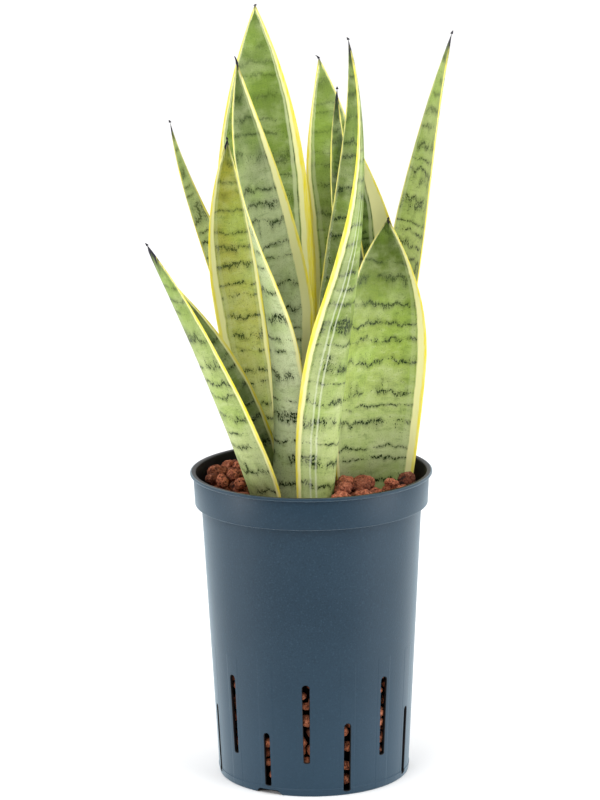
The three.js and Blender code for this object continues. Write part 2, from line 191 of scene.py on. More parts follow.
class LeafSettings(bpy.types.PropertyGroup):
    """What all the leaves share."""

    foot_thickness: bpy.props.FloatProperty(
        name="Foot thickness", description="Thickness at the foot", default=3.6 * MM,
        min=0.001, unit="LENGTH", subtype="DISTANCE")
    tip_thickness: bpy.props.FloatProperty(
        name="Tip thickness", description="Thickness near the tip", default=1.6 * MM,
        min=0.0005, unit="LENGTH", subtype="DISTANCE")
    ripple: bpy.props.FloatProperty(
        name="Ripple", description="How far the margins wander off their line",
        default=0.5 * MM, min=0, unit="LENGTH", subtype="DISTANCE")
    edge: bpy.props.FloatVectorProperty(
        name="Edge", description="Yellow of the margin", subtype="COLOR",
        default=paint(226, 210, 56), min=0, max=1)
    cream: bpy.props.FloatVectorProperty(
        name="Cream", description="Cream beside the yellow margin", subtype="COLOR",
        default=paint(224, 222, 158), min=0, max=1)
    young: bpy.props.FloatVectorProperty(
        name="Young green", description="Yellow-green clouds on the face", subtype="COLOR",
        default=paint(142, 172, 62), min=0, max=1)
    stripe: bpy.props.FloatVectorProperty(
        name="Stripe", description="Grey-green stripe inside the cream", subtype="COLOR",
        default=paint(200, 208, 160), min=0, max=1)
    bands: bpy.props.FloatVectorProperty(
        name="Cross bands", description="Dark green of the broken cross bands", subtype="COLOR",
        default=paint(26, 44, 6), min=0, max=1)
    point: bpy.props.FloatVectorProperty(
        name="Point", description="Dry purple-black of the tips", subtype="COLOR",
        default=paint(27, 25, 36), min=0, max=1)


class ClaySettings(bpy.types.PropertyGroup):
    """The expanded clay pebbles and the rhizomes lying in them."""

    spacing: bpy.props.FloatProperty(
        name="Spacing", description="Least distance between two pebbles' middles",
        default=9 * MM, min=0.004, unit="LENGTH", subtype="DISTANCE")
    seed: bpy.props.IntProperty(name="Seed", description="Changes how the pebbles lie", default=7, min=0)
    fired: bpy.props.FloatVectorProperty(
        name="Fired clay", description="Reddish brown of the pebbles' skin", subtype="COLOR",
        default=paint(212, 124, 90), min=0, max=1)
    burnt: bpy.props.FloatVectorProperty(
        name="Burnt clay", description="Darker brown of pits and of some pebbles", subtype="COLOR",
        default=paint(104, 56, 40), min=0, max=1)
    rhizome: bpy.props.FloatVectorProperty(
        name="Rhizome", description="Straw colour of the rhizomes", subtype="COLOR",
        default=paint(196, 156, 92), min=0, max=1)


class StageSettings(bpy.types.PropertyGroup):
    """Floor, light and camera."""

    floor: bpy.props.FloatVectorProperty(
        name="Floor", description="Pale floor", subtype="COLOR", default=(0.93, 0.93, 0.93),
        min=0, max=1)
    sky: bpy.props.FloatProperty(
        name="Surrounding light", description="Strength of the soft light from all round",
        default=1.25, min=0)
    dim_side: bpy.props.FloatProperty(
        name="Dim side", description="Share of that light that comes from the viewer's side",
        default=0.15, min=0, max=1)
    key: bpy.props.FloatProperty(
        name="Key light", description="Power of the large light at the front left",
        default=19, min=0, unit="POWER")
    fill: bpy.props.FloatProperty(
        name="Fill light", description="Power of the light at the right", default=14, min=0,
        unit="POWER")
    low: bpy.props.FloatProperty(
        name="Low lights", description="Power of each low light at the sides", default=15, min=0,
        unit="POWER")
    lens: bpy.props.FloatProperty(
        name="Lens", description="Focal length", default=169.3, min=1, unit="CAMERA")


# ---------------------------------------------------------------- node trees

class Value:
    """What a node puts out. Adding, subtracting, multiplying or dividing it adds a node."""

    def __init__(self, wiring, socket):
        self.wiring = wiring
        self.socket = socket

    def __add__(self, other):
        return self.wiring.math("ADD", self, other)

    def __sub__(self, other):
        return self.wiring.math("SUBTRACT", self, other)

    def __rsub__(self, other):
        return self.wiring.math("SUBTRACT", other, self)

    def __mul__(self, other):
        return self.wiring.math("MULTIPLY", self, other)

    def __truediv__(self, other):
        return self.wiring.math("DIVIDE", self, other)

    def __neg__(self):
        return self.wiring.math("MULTIPLY", self, -1.0)


class Wiring:
    """Adds nodes to one tree. An input takes a plain value or what another node puts out."""

    COLUMNS = 10

    def __init__(self, tree):
        self.tree = tree

    def node(self, kind, inputs=None, **settings):
        made = self.tree.nodes.new(kind)
        count = len(self.tree.nodes)
        made.location = (200 * (count % self.COLUMNS), -240 * (count // self.COLUMNS))
        for name, setting in settings.items():
            setattr(made, name, setting)
        for name, given in (inputs or {}).items():
            self.feed(made.inputs[name], given)
        return made

    def feed(self, socket, given):
        if isinstance(given, Value):
            self.tree.links.new(given.socket, socket)
        elif socket.type == "RGBA" and len(given) == 3:
            socket.default_value = (*given, 1)
        else:
            socket.default_value = given

    def output(self, kind, inputs=None, output=0, **settings):
        """One output of a new node."""
        return Value(self, self.node(kind, inputs, **settings).outputs[output])

    def outputs(self, made):
        """A node's outputs by name."""
        return {socket.name: Value(self, socket) for socket in made.outputs}

    def group(self, build, inputs):
        """The outputs, by name, of the shared shader group that build makes."""
        return self.outputs(self.node("ShaderNodeGroup", inputs, node_tree=shared(build)))

    def math(self, operation, *values):
        return self.output("ShaderNodeMath", dict(enumerate(values)), operation=operation)

    def vector(self, operation, *values):
        return self.output("ShaderNodeVectorMath", dict(enumerate(values)), operation=operation)

    def dot(self, first, second):
        return self.output("ShaderNodeVectorMath", {0: first, 1: second}, "Value",
                           operation="DOT_PRODUCT")

    def length(self, vector):
        return self.output("ShaderNodeVectorMath", {0: vector}, "Value", operation="LENGTH")

    def scaled(self, vector, amount):
        return self.output("ShaderNodeVectorMath", {0: vector, "Scale": amount}, operation="SCALE")

    def xyz(self, x, y, z):
        return self.output("ShaderNodeCombineXYZ", {"X": x, "Y": y, "Z": z})

    def split(self, vector):
        return self.outputs(self.node("ShaderNodeSeparateXYZ", {0: vector})).values()

    def between(self, share, low, high):
        """A number, share of the way from low to high."""
        return self.output("ShaderNodeMix", {0: share, 2: low, 3: high}, data_type="FLOAT")

    def along(self, share, start, end):
        """A point, share of the way from start to end."""
        return self.output("ShaderNodeMix", {0: share, 4: start, 5: end}, 1, data_type="VECTOR",
                           clamp_factor=False)

    def mixed(self, share, first, second):
        """A colour, share of the way from first to second."""
        return self.output("ShaderNodeMix", {0: share, 6: first, 7: second}, 2, data_type="RGBA")

    def ramp(self, value, start, end, low=0.0, high=1.0):
        """Eases from low at start to high at end."""
        return self.output("ShaderNodeMapRange", {"Value": value, "From Min": start, "From Max": end,
                                                  "To Min": low, "To Max": high},
                           interpolation_type="SMOOTHSTEP")

    def noise(self, vector, scale, detail=2.0, roughness=0.5):
        return self.output("ShaderNodeTexNoise", {"Vector": vector, "Scale": scale,
                                                  "Detail": detail, "Roughness": roughness})

    def height(self, vector):
        return self.output("ShaderNodeSeparateXYZ", {0: vector}, "Z")

    def position(self):
        return self.output("GeometryNodeInputPosition")

    def chance(self, low, high, inputs=None):
        """A random number from low to high, or a random vector if they are vectors."""
        ends = {0: low, 1: high} if isinstance(low, tuple) else {2: low, 3: high}
        return self.output("FunctionNodeRandomValue", {**ends, **(inputs or {})}, "Value",
                           data_type="FLOAT_VECTOR" if isinstance(low, tuple) else "FLOAT")

    def store(self, geometry, name, value):
        """Keeps a number with each point, for a material to read."""
        return self.output("GeometryNodeStoreNamedAttribute",
                           {"Geometry": geometry, "Name": name, "Value": value},
                           data_type="FLOAT", domain="POINT")

    def finish(self, geometry, skin, end):
        """Makes instances real, sets the material and ends the tree."""
        real = self.output("GeometryNodeRealizeInstances", {"Geometry": geometry})
        self.feed(end["Geometry"], self.output("GeometryNodeSetMaterial",
                                               {"Geometry": real, "Material": skin}))


def group_tree(name, kind, inputs, outputs):
    """An empty group with named sockets. Inputs are (name, socket kind, default)."""
    tree = bpy.data.node_groups.new(name, kind)
    for socket_name, socket_kind, default in inputs:
        socket = tree.interface.new_socket(socket_name, in_out="INPUT", socket_type=socket_kind)
        if default is not None:
            socket.default_value = default
    for socket_name, socket_kind in outputs:
        tree.interface.new_socket(socket_name, in_out="OUTPUT", socket_type=socket_kind)
    wiring = Wiring(tree)
    entry = wiring.outputs(tree.nodes.new("NodeGroupInput"))
    end = tree.nodes.new("NodeGroupOutput").inputs
    return tree, wiring, entry, end


FLOAT, VECTOR, INTEGER = "NodeSocketFloat", "NodeSocketVector", "NodeSocketInt"
GEOMETRY = "NodeSocketGeometry"


def placed(name, data):
    """A new object, linked to the scene."""
    made = bpy.data.objects.new(name, data)
    bpy.context.scene.collection.objects.link(made)
    return made


def run_tree(name, tree, settings, mesh=None):
    """Runs a Geometry Nodes tree once and returns what it makes as a plain mesh object."""
    start = mesh or bpy.data.meshes.new(name)
    piece = placed(name, start)
    modifier = piece.modifiers.new(tree.name, "NODES")
    modifier.node_group = tree
    sockets = {item.name: item.identifier for item in tree.interface.items_tree
               if item.in_out == "INPUT"}
    for socket_name, value in settings.items():
        modifier[sockets[socket_name]] = value
    graph = bpy.context.evaluated_depsgraph_get()
    made = bpy.data.meshes.new_from_object(
        piece.evaluated_get(graph), preserve_all_data_layers=True, depsgraph=graph)
    piece.modifiers.remove(modifier)
    piece.data = made
    made.name = name
    bpy.data.meshes.remove(start)
    if not made.polygons:
        raise RuntimeError(f"{tree.name} made nothing for {name}")
    return piece


def finish_piece(piece, slot, *nodes):
    """The piece rides on the plant's one body, takes a record slot and stands for CAD nodes."""
    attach(piece, BODY)
    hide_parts(*nodes)


def smooth(mesh, sharp_angle=None):
    mesh.shade_smooth()
    if sharp_angle is not None:
        mesh.set_sharp_from_angle(angle=sharp_angle)


# ---------------------------------------------------------------- shared shader groups

def shared(build):
    """The shader group that build makes, made once."""
    name = build.__doc__.splitlines()[0].rstrip(".")
    return bpy.data.node_groups.get(name) or build(name)


def grain_group(name):
    """Fine grain."""
    tree, wiring, entry, end = group_tree(
        name, "ShaderNodeTree",
        [("Vector", VECTOR, None), ("Scale", FLOAT, 900.0), ("Contrast", FLOAT, 1.0)],
        [("Value", FLOAT), ("Height", FLOAT)])
    fine = wiring.noise(entry["Vector"], entry["Scale"], 3.0, 0.6)
    value = (fine - 0.5) * entry["Contrast"]
    wiring.feed(end["Value"], value + 0.5)
    wiring.feed(end["Height"], fine)
    return tree


# How far rows of cross bands stray from level: in waves, in steps and in a slow drift.
ROW_WAVE, ROW_STEP, ROW_DRIFT = 11 * MM, 7 * MM, 30 * MM
DASHES_PER_METRE = 1150.0
# How much a dash's reach above and below its row varies, and the most that it may be.
DASH_SPREAD_UP, DASH_SPREAD_DOWN = 8 * MM, 6 * MM
TALLEST_DASH, DEEPEST_DASH = 1.4 * MM, 0.9 * MM
FLECK_BREAKS = 9 * MM
DASH_SOFTNESS = 0.18 * MM
SHADE_REACH = 4 * MM


def cross_band_group(name):
    """Broken cross bands."""
    tree, wiring, entry, end = group_tree(
        name, "ShaderNodeTree",
        [("From Midrib", FLOAT, 0.0), ("From Foot", FLOAT, 0.0), ("Seed", FLOAT, 0.0),
         ("Spacing", FLOAT, 0.013), ("Strength", FLOAT, 1.0)],
        [("Dashes", FLOAT), ("Specks", FLOAT), ("Shade", FLOAT)])
    midrib, height, seed = entry["From Midrib"], entry["From Foot"], entry["Seed"]
    place = wiring.xyz(midrib, height, seed)
    wander = wiring.noise(place, 70.0, 1.0) - 0.5
    zigzag = wiring.noise(wiring.xyz(midrib, seed, 0.0), 260.0, 2.0) - 0.5
    slow = wiring.noise(wiring.xyz(0.0, height, seed), 38.0, 1.0)
    level = wander * ROW_WAVE + height
    level = zigzag * ROW_STEP + level
    level = slow * ROW_DRIFT + level
    turns = level / entry["Spacing"]
    row = wiring.math("FLOOR", turns)
    phase = turns - row - 0.5
    rise = phase * entry["Spacing"]
    # Every row has its own dashes, each with its own height above and below the row's line.
    column = midrib * DASHES_PER_METRE
    up = wiring.noise(wiring.xyz(column, row * 7.3, seed), 1.0, 2.0, 0.7)
    down = wiring.noise(wiring.xyz(column, row * 7.3 + 3.1, seed), 1.0, 2.0, 0.7)
    presence = wiring.ramp(wiring.noise(wiring.xyz(midrib, row * 0.37, seed), 95.0, 1.0), 0.28, 0.62,
                           -0.12, 0.15)
    reach_up = (up - 0.47 + presence) * DASH_SPREAD_UP
    reach_down = (down - 0.47 + presence) * DASH_SPREAD_DOWN
    reach_up = wiring.math("MINIMUM", reach_up, TALLEST_DASH)
    reach_down = wiring.math("MINIMUM", reach_down, DEEPEST_DASH)
    over = rise - reach_up
    under = -rise - reach_down
    outside = wiring.math("MAXIMUM", over, under)
    flecks = wiring.noise(wiring.xyz(midrib * 1000.0, height * 620.0, seed), 1.0, 2.0, 0.7)
    outside = (flecks - 0.535) * -FLECK_BREAKS + outside
    dashes = wiring.ramp(outside, DASH_SOFTNESS, -DASH_SOFTNESS)
    wiring.feed(end["Dashes"], dashes * entry["Strength"])
    speckled = wiring.noise(wiring.xyz(column, height * 600.0, seed), 1.0, 2.0, 0.6)
    fields = wiring.ramp(wiring.noise(place, 120.0, 2.0), 0.45, 0.65)
    specks = wiring.ramp(speckled, 0.6, 0.66) * fields
    wiring.feed(end["Specks"], specks * entry["Strength"])
    away = wiring.math("ABSOLUTE", rise)
    broad = wiring.ramp(away, SHADE_REACH, 0.0) * wiring.ramp(presence, -0.1, 0.08)
    wiring.feed(end["Shade"], broad * entry["Strength"])
    return tree


EDGE_WANDER, EDGE_FRAY, EDGE_SOFTNESS = 1.6 * MM, 1.2 * MM, 0.5 * MM
HAIRLINES_AT, HAIRLINE_HALF_GAP = 4.2 * MM, 0.9 * MM


def margin_group(name):
    """Variegated margin."""
    tree, wiring, entry, end = group_tree(
        name, "ShaderNodeTree",
        [("From Margin", FLOAT, 0.0), ("From Midrib", FLOAT, 0.0), ("From Foot", FLOAT, 0.0),
         ("Share", FLOAT, 0.0), ("Seed", FLOAT, 0.0), ("Yellow", FLOAT, 0.002),
         ("Cream", FLOAT, 0.003), ("Skew", FLOAT, 0.0)],
        [("Yellow", FLOAT), ("Cream", FLOAT), ("Stripe", FLOAT), ("Line", FLOAT), ("Hairlines", FLOAT)])
    place = wiring.xyz(entry["From Midrib"], entry["From Foot"], entry["Seed"])
    wander = wiring.noise(place, 60.0, 3.0) - 0.5
    streaks = wiring.xyz(entry["From Midrib"] * 1800.0, entry["From Foot"] * 90.0, entry["Seed"])
    fray = wiring.noise(streaks, 1.0, 2.0) - 0.5
    edge = wander * EDGE_WANDER + entry["From Margin"]
    edge = fray * EDGE_FRAY + edge
    side = wiring.math("SIGN", entry["From Midrib"]) * entry["Skew"] + 1.0
    narrowing = wiring.ramp(entry["Share"], 1.02, 0.5, 0.2, 1.0) * side
    yellow = entry["Yellow"] * narrowing
    cream = entry["Cream"] * narrowing + yellow
    past = (edge - cream) / wiring.math("MAXIMUM", narrowing, 0.1)
    wiring.feed(end["Yellow"], wiring.ramp(edge - yellow, EDGE_SOFTNESS, -EDGE_SOFTNESS))
    wiring.feed(end["Cream"], wiring.ramp(edge - cream, EDGE_SOFTNESS, -EDGE_SOFTNESS))
    rising = wiring.ramp(past, 0.4 * MM, 1.2 * MM)
    falling = wiring.ramp(past, 3.4 * MM, 2.4 * MM)
    wiring.feed(end["Stripe"], rising * falling)
    line_rising = wiring.ramp(past, -0.2 * MM, 0.3 * MM)
    line_falling = wiring.ramp(past, 1.2 * MM, 0.6 * MM)
    wiring.feed(end["Line"], line_rising * line_falling)
    from_pair = wiring.math("ABSOLUTE", past - HAIRLINES_AT)
    from_line = wiring.math("ABSOLUTE", from_pair - HAIRLINE_HALF_GAP)
    wiring.feed(end["Hairlines"], wiring.ramp(from_line, 0.5 * MM, 0.1 * MM))
    return tree


def new_material(name):
    """A material with its Principled shader, ready to wire."""
    material = bpy.data.materials.new(name)
    material.use_nodes = True
    shader = material.node_tree.nodes["Principled BSDF"]
    return material, Wiring(material.node_tree), shader.inputs


def attribute(wiring, name):
    return wiring.output("ShaderNodeAttribute", output="Fac", attribute_name=name)


def object_place(wiring):
    return wiring.output("ShaderNodeTexCoord", output="Object")


def bump(wiring, height, distance, strength=1.0, normal=None):
    inputs = {"Height": height, "Distance": distance, "Strength": strength}
    if normal is not None:
        inputs["Normal"] = normal
    return wiring.output("ShaderNodeBump", inputs)


# ---------------------------------------------------------------- leaf material

def leaf_skin(shape, seed):
    """Satin leaf skin for one leaf: its face, cross bands, variegated margin and dry point.
    The seed is a float, as it goes into the patterns' third dimension."""
    look = LEAF_LOOKS[shape.name]
    settings = bpy.context.scene.snake_plant_leaves
    material, wiring, shader = new_material(shape.name + "_skin")
    midrib, height = attribute(wiring, "from_midrib"), attribute(wiring, "from_foot")
    margin, share = attribute(wiring, "from_margin"), attribute(wiring, "share")
    inside = attribute(wiring, "inside")
    place = wiring.xyz(midrib, height, seed)

    face = wiring.mixed(wiring.ramp(share, 0.05, 0.5), paint(*look.foot), paint(*look.middle))
    face = wiring.mixed(wiring.ramp(share, 0.5, 0.95), face, paint(*look.point))
    # Painted shade: the channel's inside is darkened towards a dark green, as where the rolled leaf
    # shades itself.
    face = wiring.mixed(inside * look.deep, face, paint(62, 84, 34))
    clouds = wiring.noise(place, 55.0, 3.0, 0.6)
    face = wiring.mixed(wiring.ramp(clouds, 0.4, 0.75, 0.0, 0.34), face, settings.stripe)
    greens = wiring.noise(wiring.vector("ADD", place, (0.0, 0.0, 4.0)), 38.0, 2.0)
    face = wiring.mixed(wiring.ramp(greens, 0.42, 0.7, 0.0, 0.4), face, settings.young)
    streaked = wiring.xyz(midrib * 900.0, height * 70.0, seed)
    streaks = wiring.noise(streaked, 1.0, 3.0, 0.6)
    face = wiring.mixed(wiring.ramp(streaks, 0.3, 0.75, 0.0, 0.1), face, (0.02, 0.045, 0.01))
    level = wiring.xyz(midrib * 130.0, height * 260.0, seed)
    drifts = wiring.noise(level, 1.0, 3.0, 0.6)
    face = wiring.mixed(wiring.ramp(drifts, 0.5, 0.74, 0.0, 0.45), face, paint(92, 116, 50))
    pale = wiring.ramp(drifts, 0.48, 0.3, 0.0, 0.2) * wiring.ramp(share, 0.85, 0.45, 0.2, 1.0)
    face = wiring.mixed(pale, face, paint(206, 212, 168))
    grain = wiring.group(grain_group, {"Vector": place, "Scale": 1400.0})
    mottle = wiring.ramp(grain["Value"], 0.5, 0.72, 0.0, 0.4)
    face = wiring.mixed(mottle, face, settings.bands)

    bands = wiring.group(cross_band_group, {
        "From Midrib": midrib, "From Foot": height, "Seed": seed,
        "Spacing": look.spacing * MM, "Strength": look.bands})
    shade = bands["Shade"] * 0.4
    face = wiring.mixed(shade, face, settings.bands)
    fading = wiring.ramp(share, 0.95, 0.55, 0.4, 1.0)
    face = wiring.mixed(bands["Specks"] * 0.6, face, settings.bands)
    face = wiring.mixed(bands["Dashes"] * fading, face, settings.bands)

    edges = wiring.group(margin_group, {
        "From Margin": margin, "From Midrib": midrib, "From Foot": height, "Share": share,
        "Seed": seed, "Yellow": look.yellow * MM, "Cream": look.cream * MM,
        "Skew": look.skew})
    colour = wiring.mixed(edges["Stripe"] * (look.stripe * 0.8), face, settings.stripe)
    colour = wiring.mixed(edges["Line"] * (look.stripe * 0.2), colour, settings.bands)
    hairlines = edges["Hairlines"] * (wiring.ramp(share, 0.8, 0.55) * look.hairlines)
    colour = wiring.mixed(hairlines, colour, paint(226, 232, 206))
    colour = wiring.mixed(edges["Cream"], colour, settings.cream)
    yellow = wiring.mixed(wiring.ramp(streaks, 0.35, 0.7, 0.0, 0.5), settings.edge, settings.cream)
    colour = wiring.mixed(edges["Yellow"], colour, yellow)
    # The dry point runs down in streaks, and the skin darkens ahead of it.
    from_tip = (1.0 - share) * (shape.rise * MM)
    tongue = wiring.noise(streaked, 1.6, 1.0) * (-2.4 * look.dark * MM) + from_tip
    ahead = wiring.ramp(tongue, 1.5 * look.dark * MM, 0.0, 0.0, 0.6)
    colour = wiring.mixed(ahead, colour, settings.bands)
    colour = wiring.mixed(wiring.ramp(tongue, 0.0, -1 * MM), colour, settings.point)
    colour = wiring.mixed(wiring.ramp(share, 0.9995, 1.01), colour, settings.point)

    wiring.feed(shader["Base Color"], colour)
    wiring.feed(shader["Roughness"], wiring.ramp(clouds, 0.2, 0.8, 0.42, 0.58))
    shader["Specular IOR Level"].default_value = 0.17
    ribs = streaks * wiring.between(inside, 0.7, 1.0)
    wiring.feed(shader["Normal"], bump(wiring, ribs + grain["Height"], 0.00025, 0.3))
    return material


# ---------------------------------------------------------------- leaf tree

SPIKE_RADIUS = 0.9 * MM
# The skin takes the dry point's colour where the share of the leaf's length is above one.
SHARE_PAST_TIP = 1.1
WELD = 0.01 * MM


def leaf_tree():
    """The tree that makes one leaf: a closed skin rolled into a channel along a bowed spine."""
    tree, wiring, entry, end = group_tree(
        "Leaf", "GeometryNodeTree",
        [("Foot", VECTOR, None), ("Low Handle", VECTOR, None), ("High Handle", VECTOR, None),
         ("Tip", VECTOR, None), ("Width", FLOAT, 0.06), ("Widest At", FLOAT, 0.45),
         ("Foot Share", FLOAT, 0.6), ("Taper", FLOAT, 2.0), ("Facing", VECTOR, None),
         ("Channel", VECTOR, None), ("Foot Thickness", FLOAT, 0.0036),
         ("Tip Thickness", FLOAT, 0.0016), ("Ripple", FLOAT, 0.0005), ("Seed", FLOAT, 0.0),
         ("Spike", FLOAT, 0.003), ("Curl", VECTOR, None), ("Steps", INTEGER, 110),
         ("Round", INTEGER, 48), ("Skin", "NodeSocketMaterial", None)],
        [("Geometry", GEOMETRY)])
    tube = wiring.output("GeometryNodeMeshCylinder",
                         {"Vertices": entry["Round"], "Side Segments": entry["Steps"],
                          "Radius": 1.0, "Depth": 1.0}, "Mesh", fill_type="NGON")
    x, y, z = wiring.split(wiring.position())
    step = z + 0.5
    share = wiring.math("SINE", step * (math.pi / 2))
    across = -x

    # The spine: a cubic curve drawn by repeated halving, which gives its direction as well.
    first = wiring.along(share, entry["Foot"], entry["Low Handle"])
    second = wiring.along(share, entry["Low Handle"], entry["High Handle"])
    third = wiring.along(share, entry["High Handle"], entry["Tip"])
    before = wiring.along(share, first, second)
    after = wiring.along(share, second, third)
    centre = wiring.along(share, before, after)
    heading = wiring.vector("NORMALIZE", wiring.vector("SUBTRACT", after, before))

    # Weights that carry a value smoothly through the foot, the middle and the tip.
    left = 1.0 - share
    half_way = share * -2.0 + 1.0
    foot_weight = left * half_way
    middle_weight = share * left * 4.0
    tip_weight = -(share * half_way)
    weights = wiring.xyz(foot_weight, middle_weight, tip_weight)
    facing = wiring.math("RADIANS", wiring.dot(entry["Facing"], weights))
    channel = wiring.math("MAXIMUM", wiring.dot(entry["Channel"], weights), 8.0)
    roll = wiring.math("RADIANS", channel)

    # The width swells from the foot and then runs to a point.
    rising = wiring.math("MINIMUM", share / entry["Widest At"], 1.0)
    swell = wiring.math("SINE", rising * (math.pi / 2))
    swell = wiring.between(swell, entry["Foot Share"], 1.0)
    beyond = (share - entry["Widest At"]) / (1.0 - entry["Widest At"])
    beyond = wiring.math("POWER", wiring.math("MAXIMUM", beyond, 0.0), entry["Taper"])
    point = wiring.math("MAXIMUM", 1.0 - beyond, 0.0)
    width = entry["Width"] * (swell * point)

    flat = wiring.xyz(wiring.math("COSINE", facing), wiring.math("SINE", facing), 0.0)
    lean = wiring.dot(flat, heading)
    opening = wiring.vector("NORMALIZE",
                            wiring.vector("SUBTRACT", flat, wiring.scaled(heading, lean)))
    side = wiring.vector("CROSS_PRODUCT", heading, opening)
    radius = width / roll
    full = wiring.between(share, entry["Foot Thickness"], entry["Tip Thickness"])
    half = wiring.math("MINIMUM", full * 0.5, width * 0.15)
    lift = half * y
    angle = roll * across * 0.5
    reach = radius - lift
    sideways = reach * wiring.math("SINE", angle)
    forward = radius - reach * wiring.math("COSINE", angle)
    # The margins wander a little off the rolled sheet, and not at the foot or the point.
    centre_height = wiring.height(centre)
    from_foot = centre_height - wiring.height(entry["Foot"])
    edge_place = wiring.xyz(across, from_foot * 26.0, entry["Seed"])
    wander = wiring.noise(edge_place, 1.0, 2.0) - 0.5
    outer = across * across * middle_weight
    ripple = wander * outer * (entry["Ripple"] * 2.0)
    forward = forward + ripple
    rolled = wiring.vector("ADD", centre, wiring.scaled(side, sideways))
    rolled = wiring.vector("ADD", rolled, wiring.scaled(opening, forward))
    levelling = wiring.math("MINIMUM", share / 0.08, 1.0)
    rolled_x, rolled_y, rolled_z = wiring.split(rolled)
    level_z = wiring.between(levelling, centre_height, rolled_z)

    # What the skin's colours follow. These are stored while the tube still has its own shape.
    half_width = width * 0.5
    to_margin = half_width * (1.0 - wiring.math("ABSOLUTE", across))
    for name, value in (("from_midrib", half_width * across), ("from_margin", to_margin),
                        ("from_foot", from_foot), ("share", share), ("inside", y * 0.5 + 0.5)):
        tube = wiring.store(tube, name, value)
    skin = wiring.output("GeometryNodeSetPosition", {
        "Geometry": tube, "Position": wiring.xyz(rolled_x, rolled_y, level_z)})
    closed = wiring.output("GeometryNodeMergeByDistance", {"Geometry": skin, "Distance": WELD})

    # The dry point is a thin spike that carries on from the tip and curls over.
    cone = wiring.output("GeometryNodeMeshCone",
                         {"Vertices": 10, "Side Segments": 8, "Radius Top": 0.3,
                          "Radius Bottom": 1.0, "Depth": 1.0}, "Mesh", fill_type="NGON")
    out = wiring.vector("NORMALIZE", wiring.vector("SUBTRACT", entry["Tip"], entry["High Handle"]))
    spike_side = wiring.vector("NORMALIZE", wiring.vector("CROSS_PRODUCT", out, (0.0, 1.0, 0.0)))
    spike_front = wiring.vector("CROSS_PRODUCT", out, spike_side)
    reach_out = entry["Spike"] * (z - 0.35)
    spot = wiring.vector("ADD", entry["Tip"], wiring.scaled(out, reach_out))
    spot = wiring.vector("ADD", spot, wiring.scaled(spike_side, x * SPIKE_RADIUS))
    spot = wiring.vector("ADD", spot, wiring.scaled(spike_front, y * SPIKE_RADIUS))
    bent = z * z
    spot = wiring.vector("ADD", spot, wiring.scaled(entry["Curl"], bent))
    spike = wiring.output("GeometryNodeSetPosition", {"Geometry": cone, "Position": spot})
    joined = wiring.node("GeometryNodeJoinGeometry")
    for part in (wiring.store(spike, "share", SHARE_PAST_TIP), closed):
        wiring.feed(joined.inputs[0], part)
    wiring.finish(wiring.outputs(joined)["Geometry"], entry["Skin"], end)
    return tree


def leaf_points(shape):
    """Foot, the two handles and tip of a leaf's spine."""
    foot = Vector((shape.foot[0] * MM, shape.foot[1] * MM, FOOT_LEVEL))
    tip = Vector((shape.tip[0] * MM, shape.tip[1] * MM, FOOT_LEVEL + shape.rise * MM))
    low = foot.lerp(tip, 1 / 3) + Vector((shape.low_bow[0] * MM, shape.low_bow[1] * MM, 0))
    high = foot.lerp(tip, 2 / 3) + Vector((shape.high_bow[0] * MM, shape.high_bow[1] * MM, 0))
    return foot, low, high, tip


# ---------------------------------------------------------------- pot

POT_HEIGHT = POT_HIGH.z
LIP_RADIUS = POT_HIGH.x
FOOT_RADIUS = 59 * MM
LIP_PROUD = 2 * MM
BAND_DRAFT = 0.8 * MM
BAND_STEP = 4 * MM
LIP_DEPTH = 2 * MM
POT_FLOOR = 2 * MM
LEDGE_EASE = 0.6 * MM
FOOT_LINE = 4.4 * MM
FOOT_LINE_PROUD = 0.3 * MM

SLOT_COUNT = 15
SLOT_TURN = math.radians(-4.2)
SLOT_PITCH = 2 * math.pi / SLOT_COUNT
# Low end, high end, width at the low end and at the high end.
HIGH_SLOT = (21.7 * MM, 71.8 * MM, 3.5 * MM, 4.5 * MM)
LOW_SLOT = (2.6 * MM, 46 * MM, 4 * MM, 4 * MM)
SHORT_SLOT = (5.4 * MM, 39.2 * MM, 3.8 * MM, 3.6 * MM)
NOTCH_COUNT = 3
NOTCH_TURN = math.radians(-28.2)
NOTCH_WIDTH = 18.5 * MM
NOTCH_HEIGHT = 2.9 * MM
NOTCH_RUNOUT = 3 * MM
NOTCH_REACH = 6 * MM


def arc(middle, radius, start, end, steps):
    """Points of an arc in the pot's half section, angles in degrees from outwards to up."""
    points = []
    for step in range(steps + 1):
        turn = math.radians(start + (end - start) * step / steps)
        points.append((middle[0] + radius[0] * math.cos(turn), middle[1] + radius[1] * math.sin(turn)))
    return points


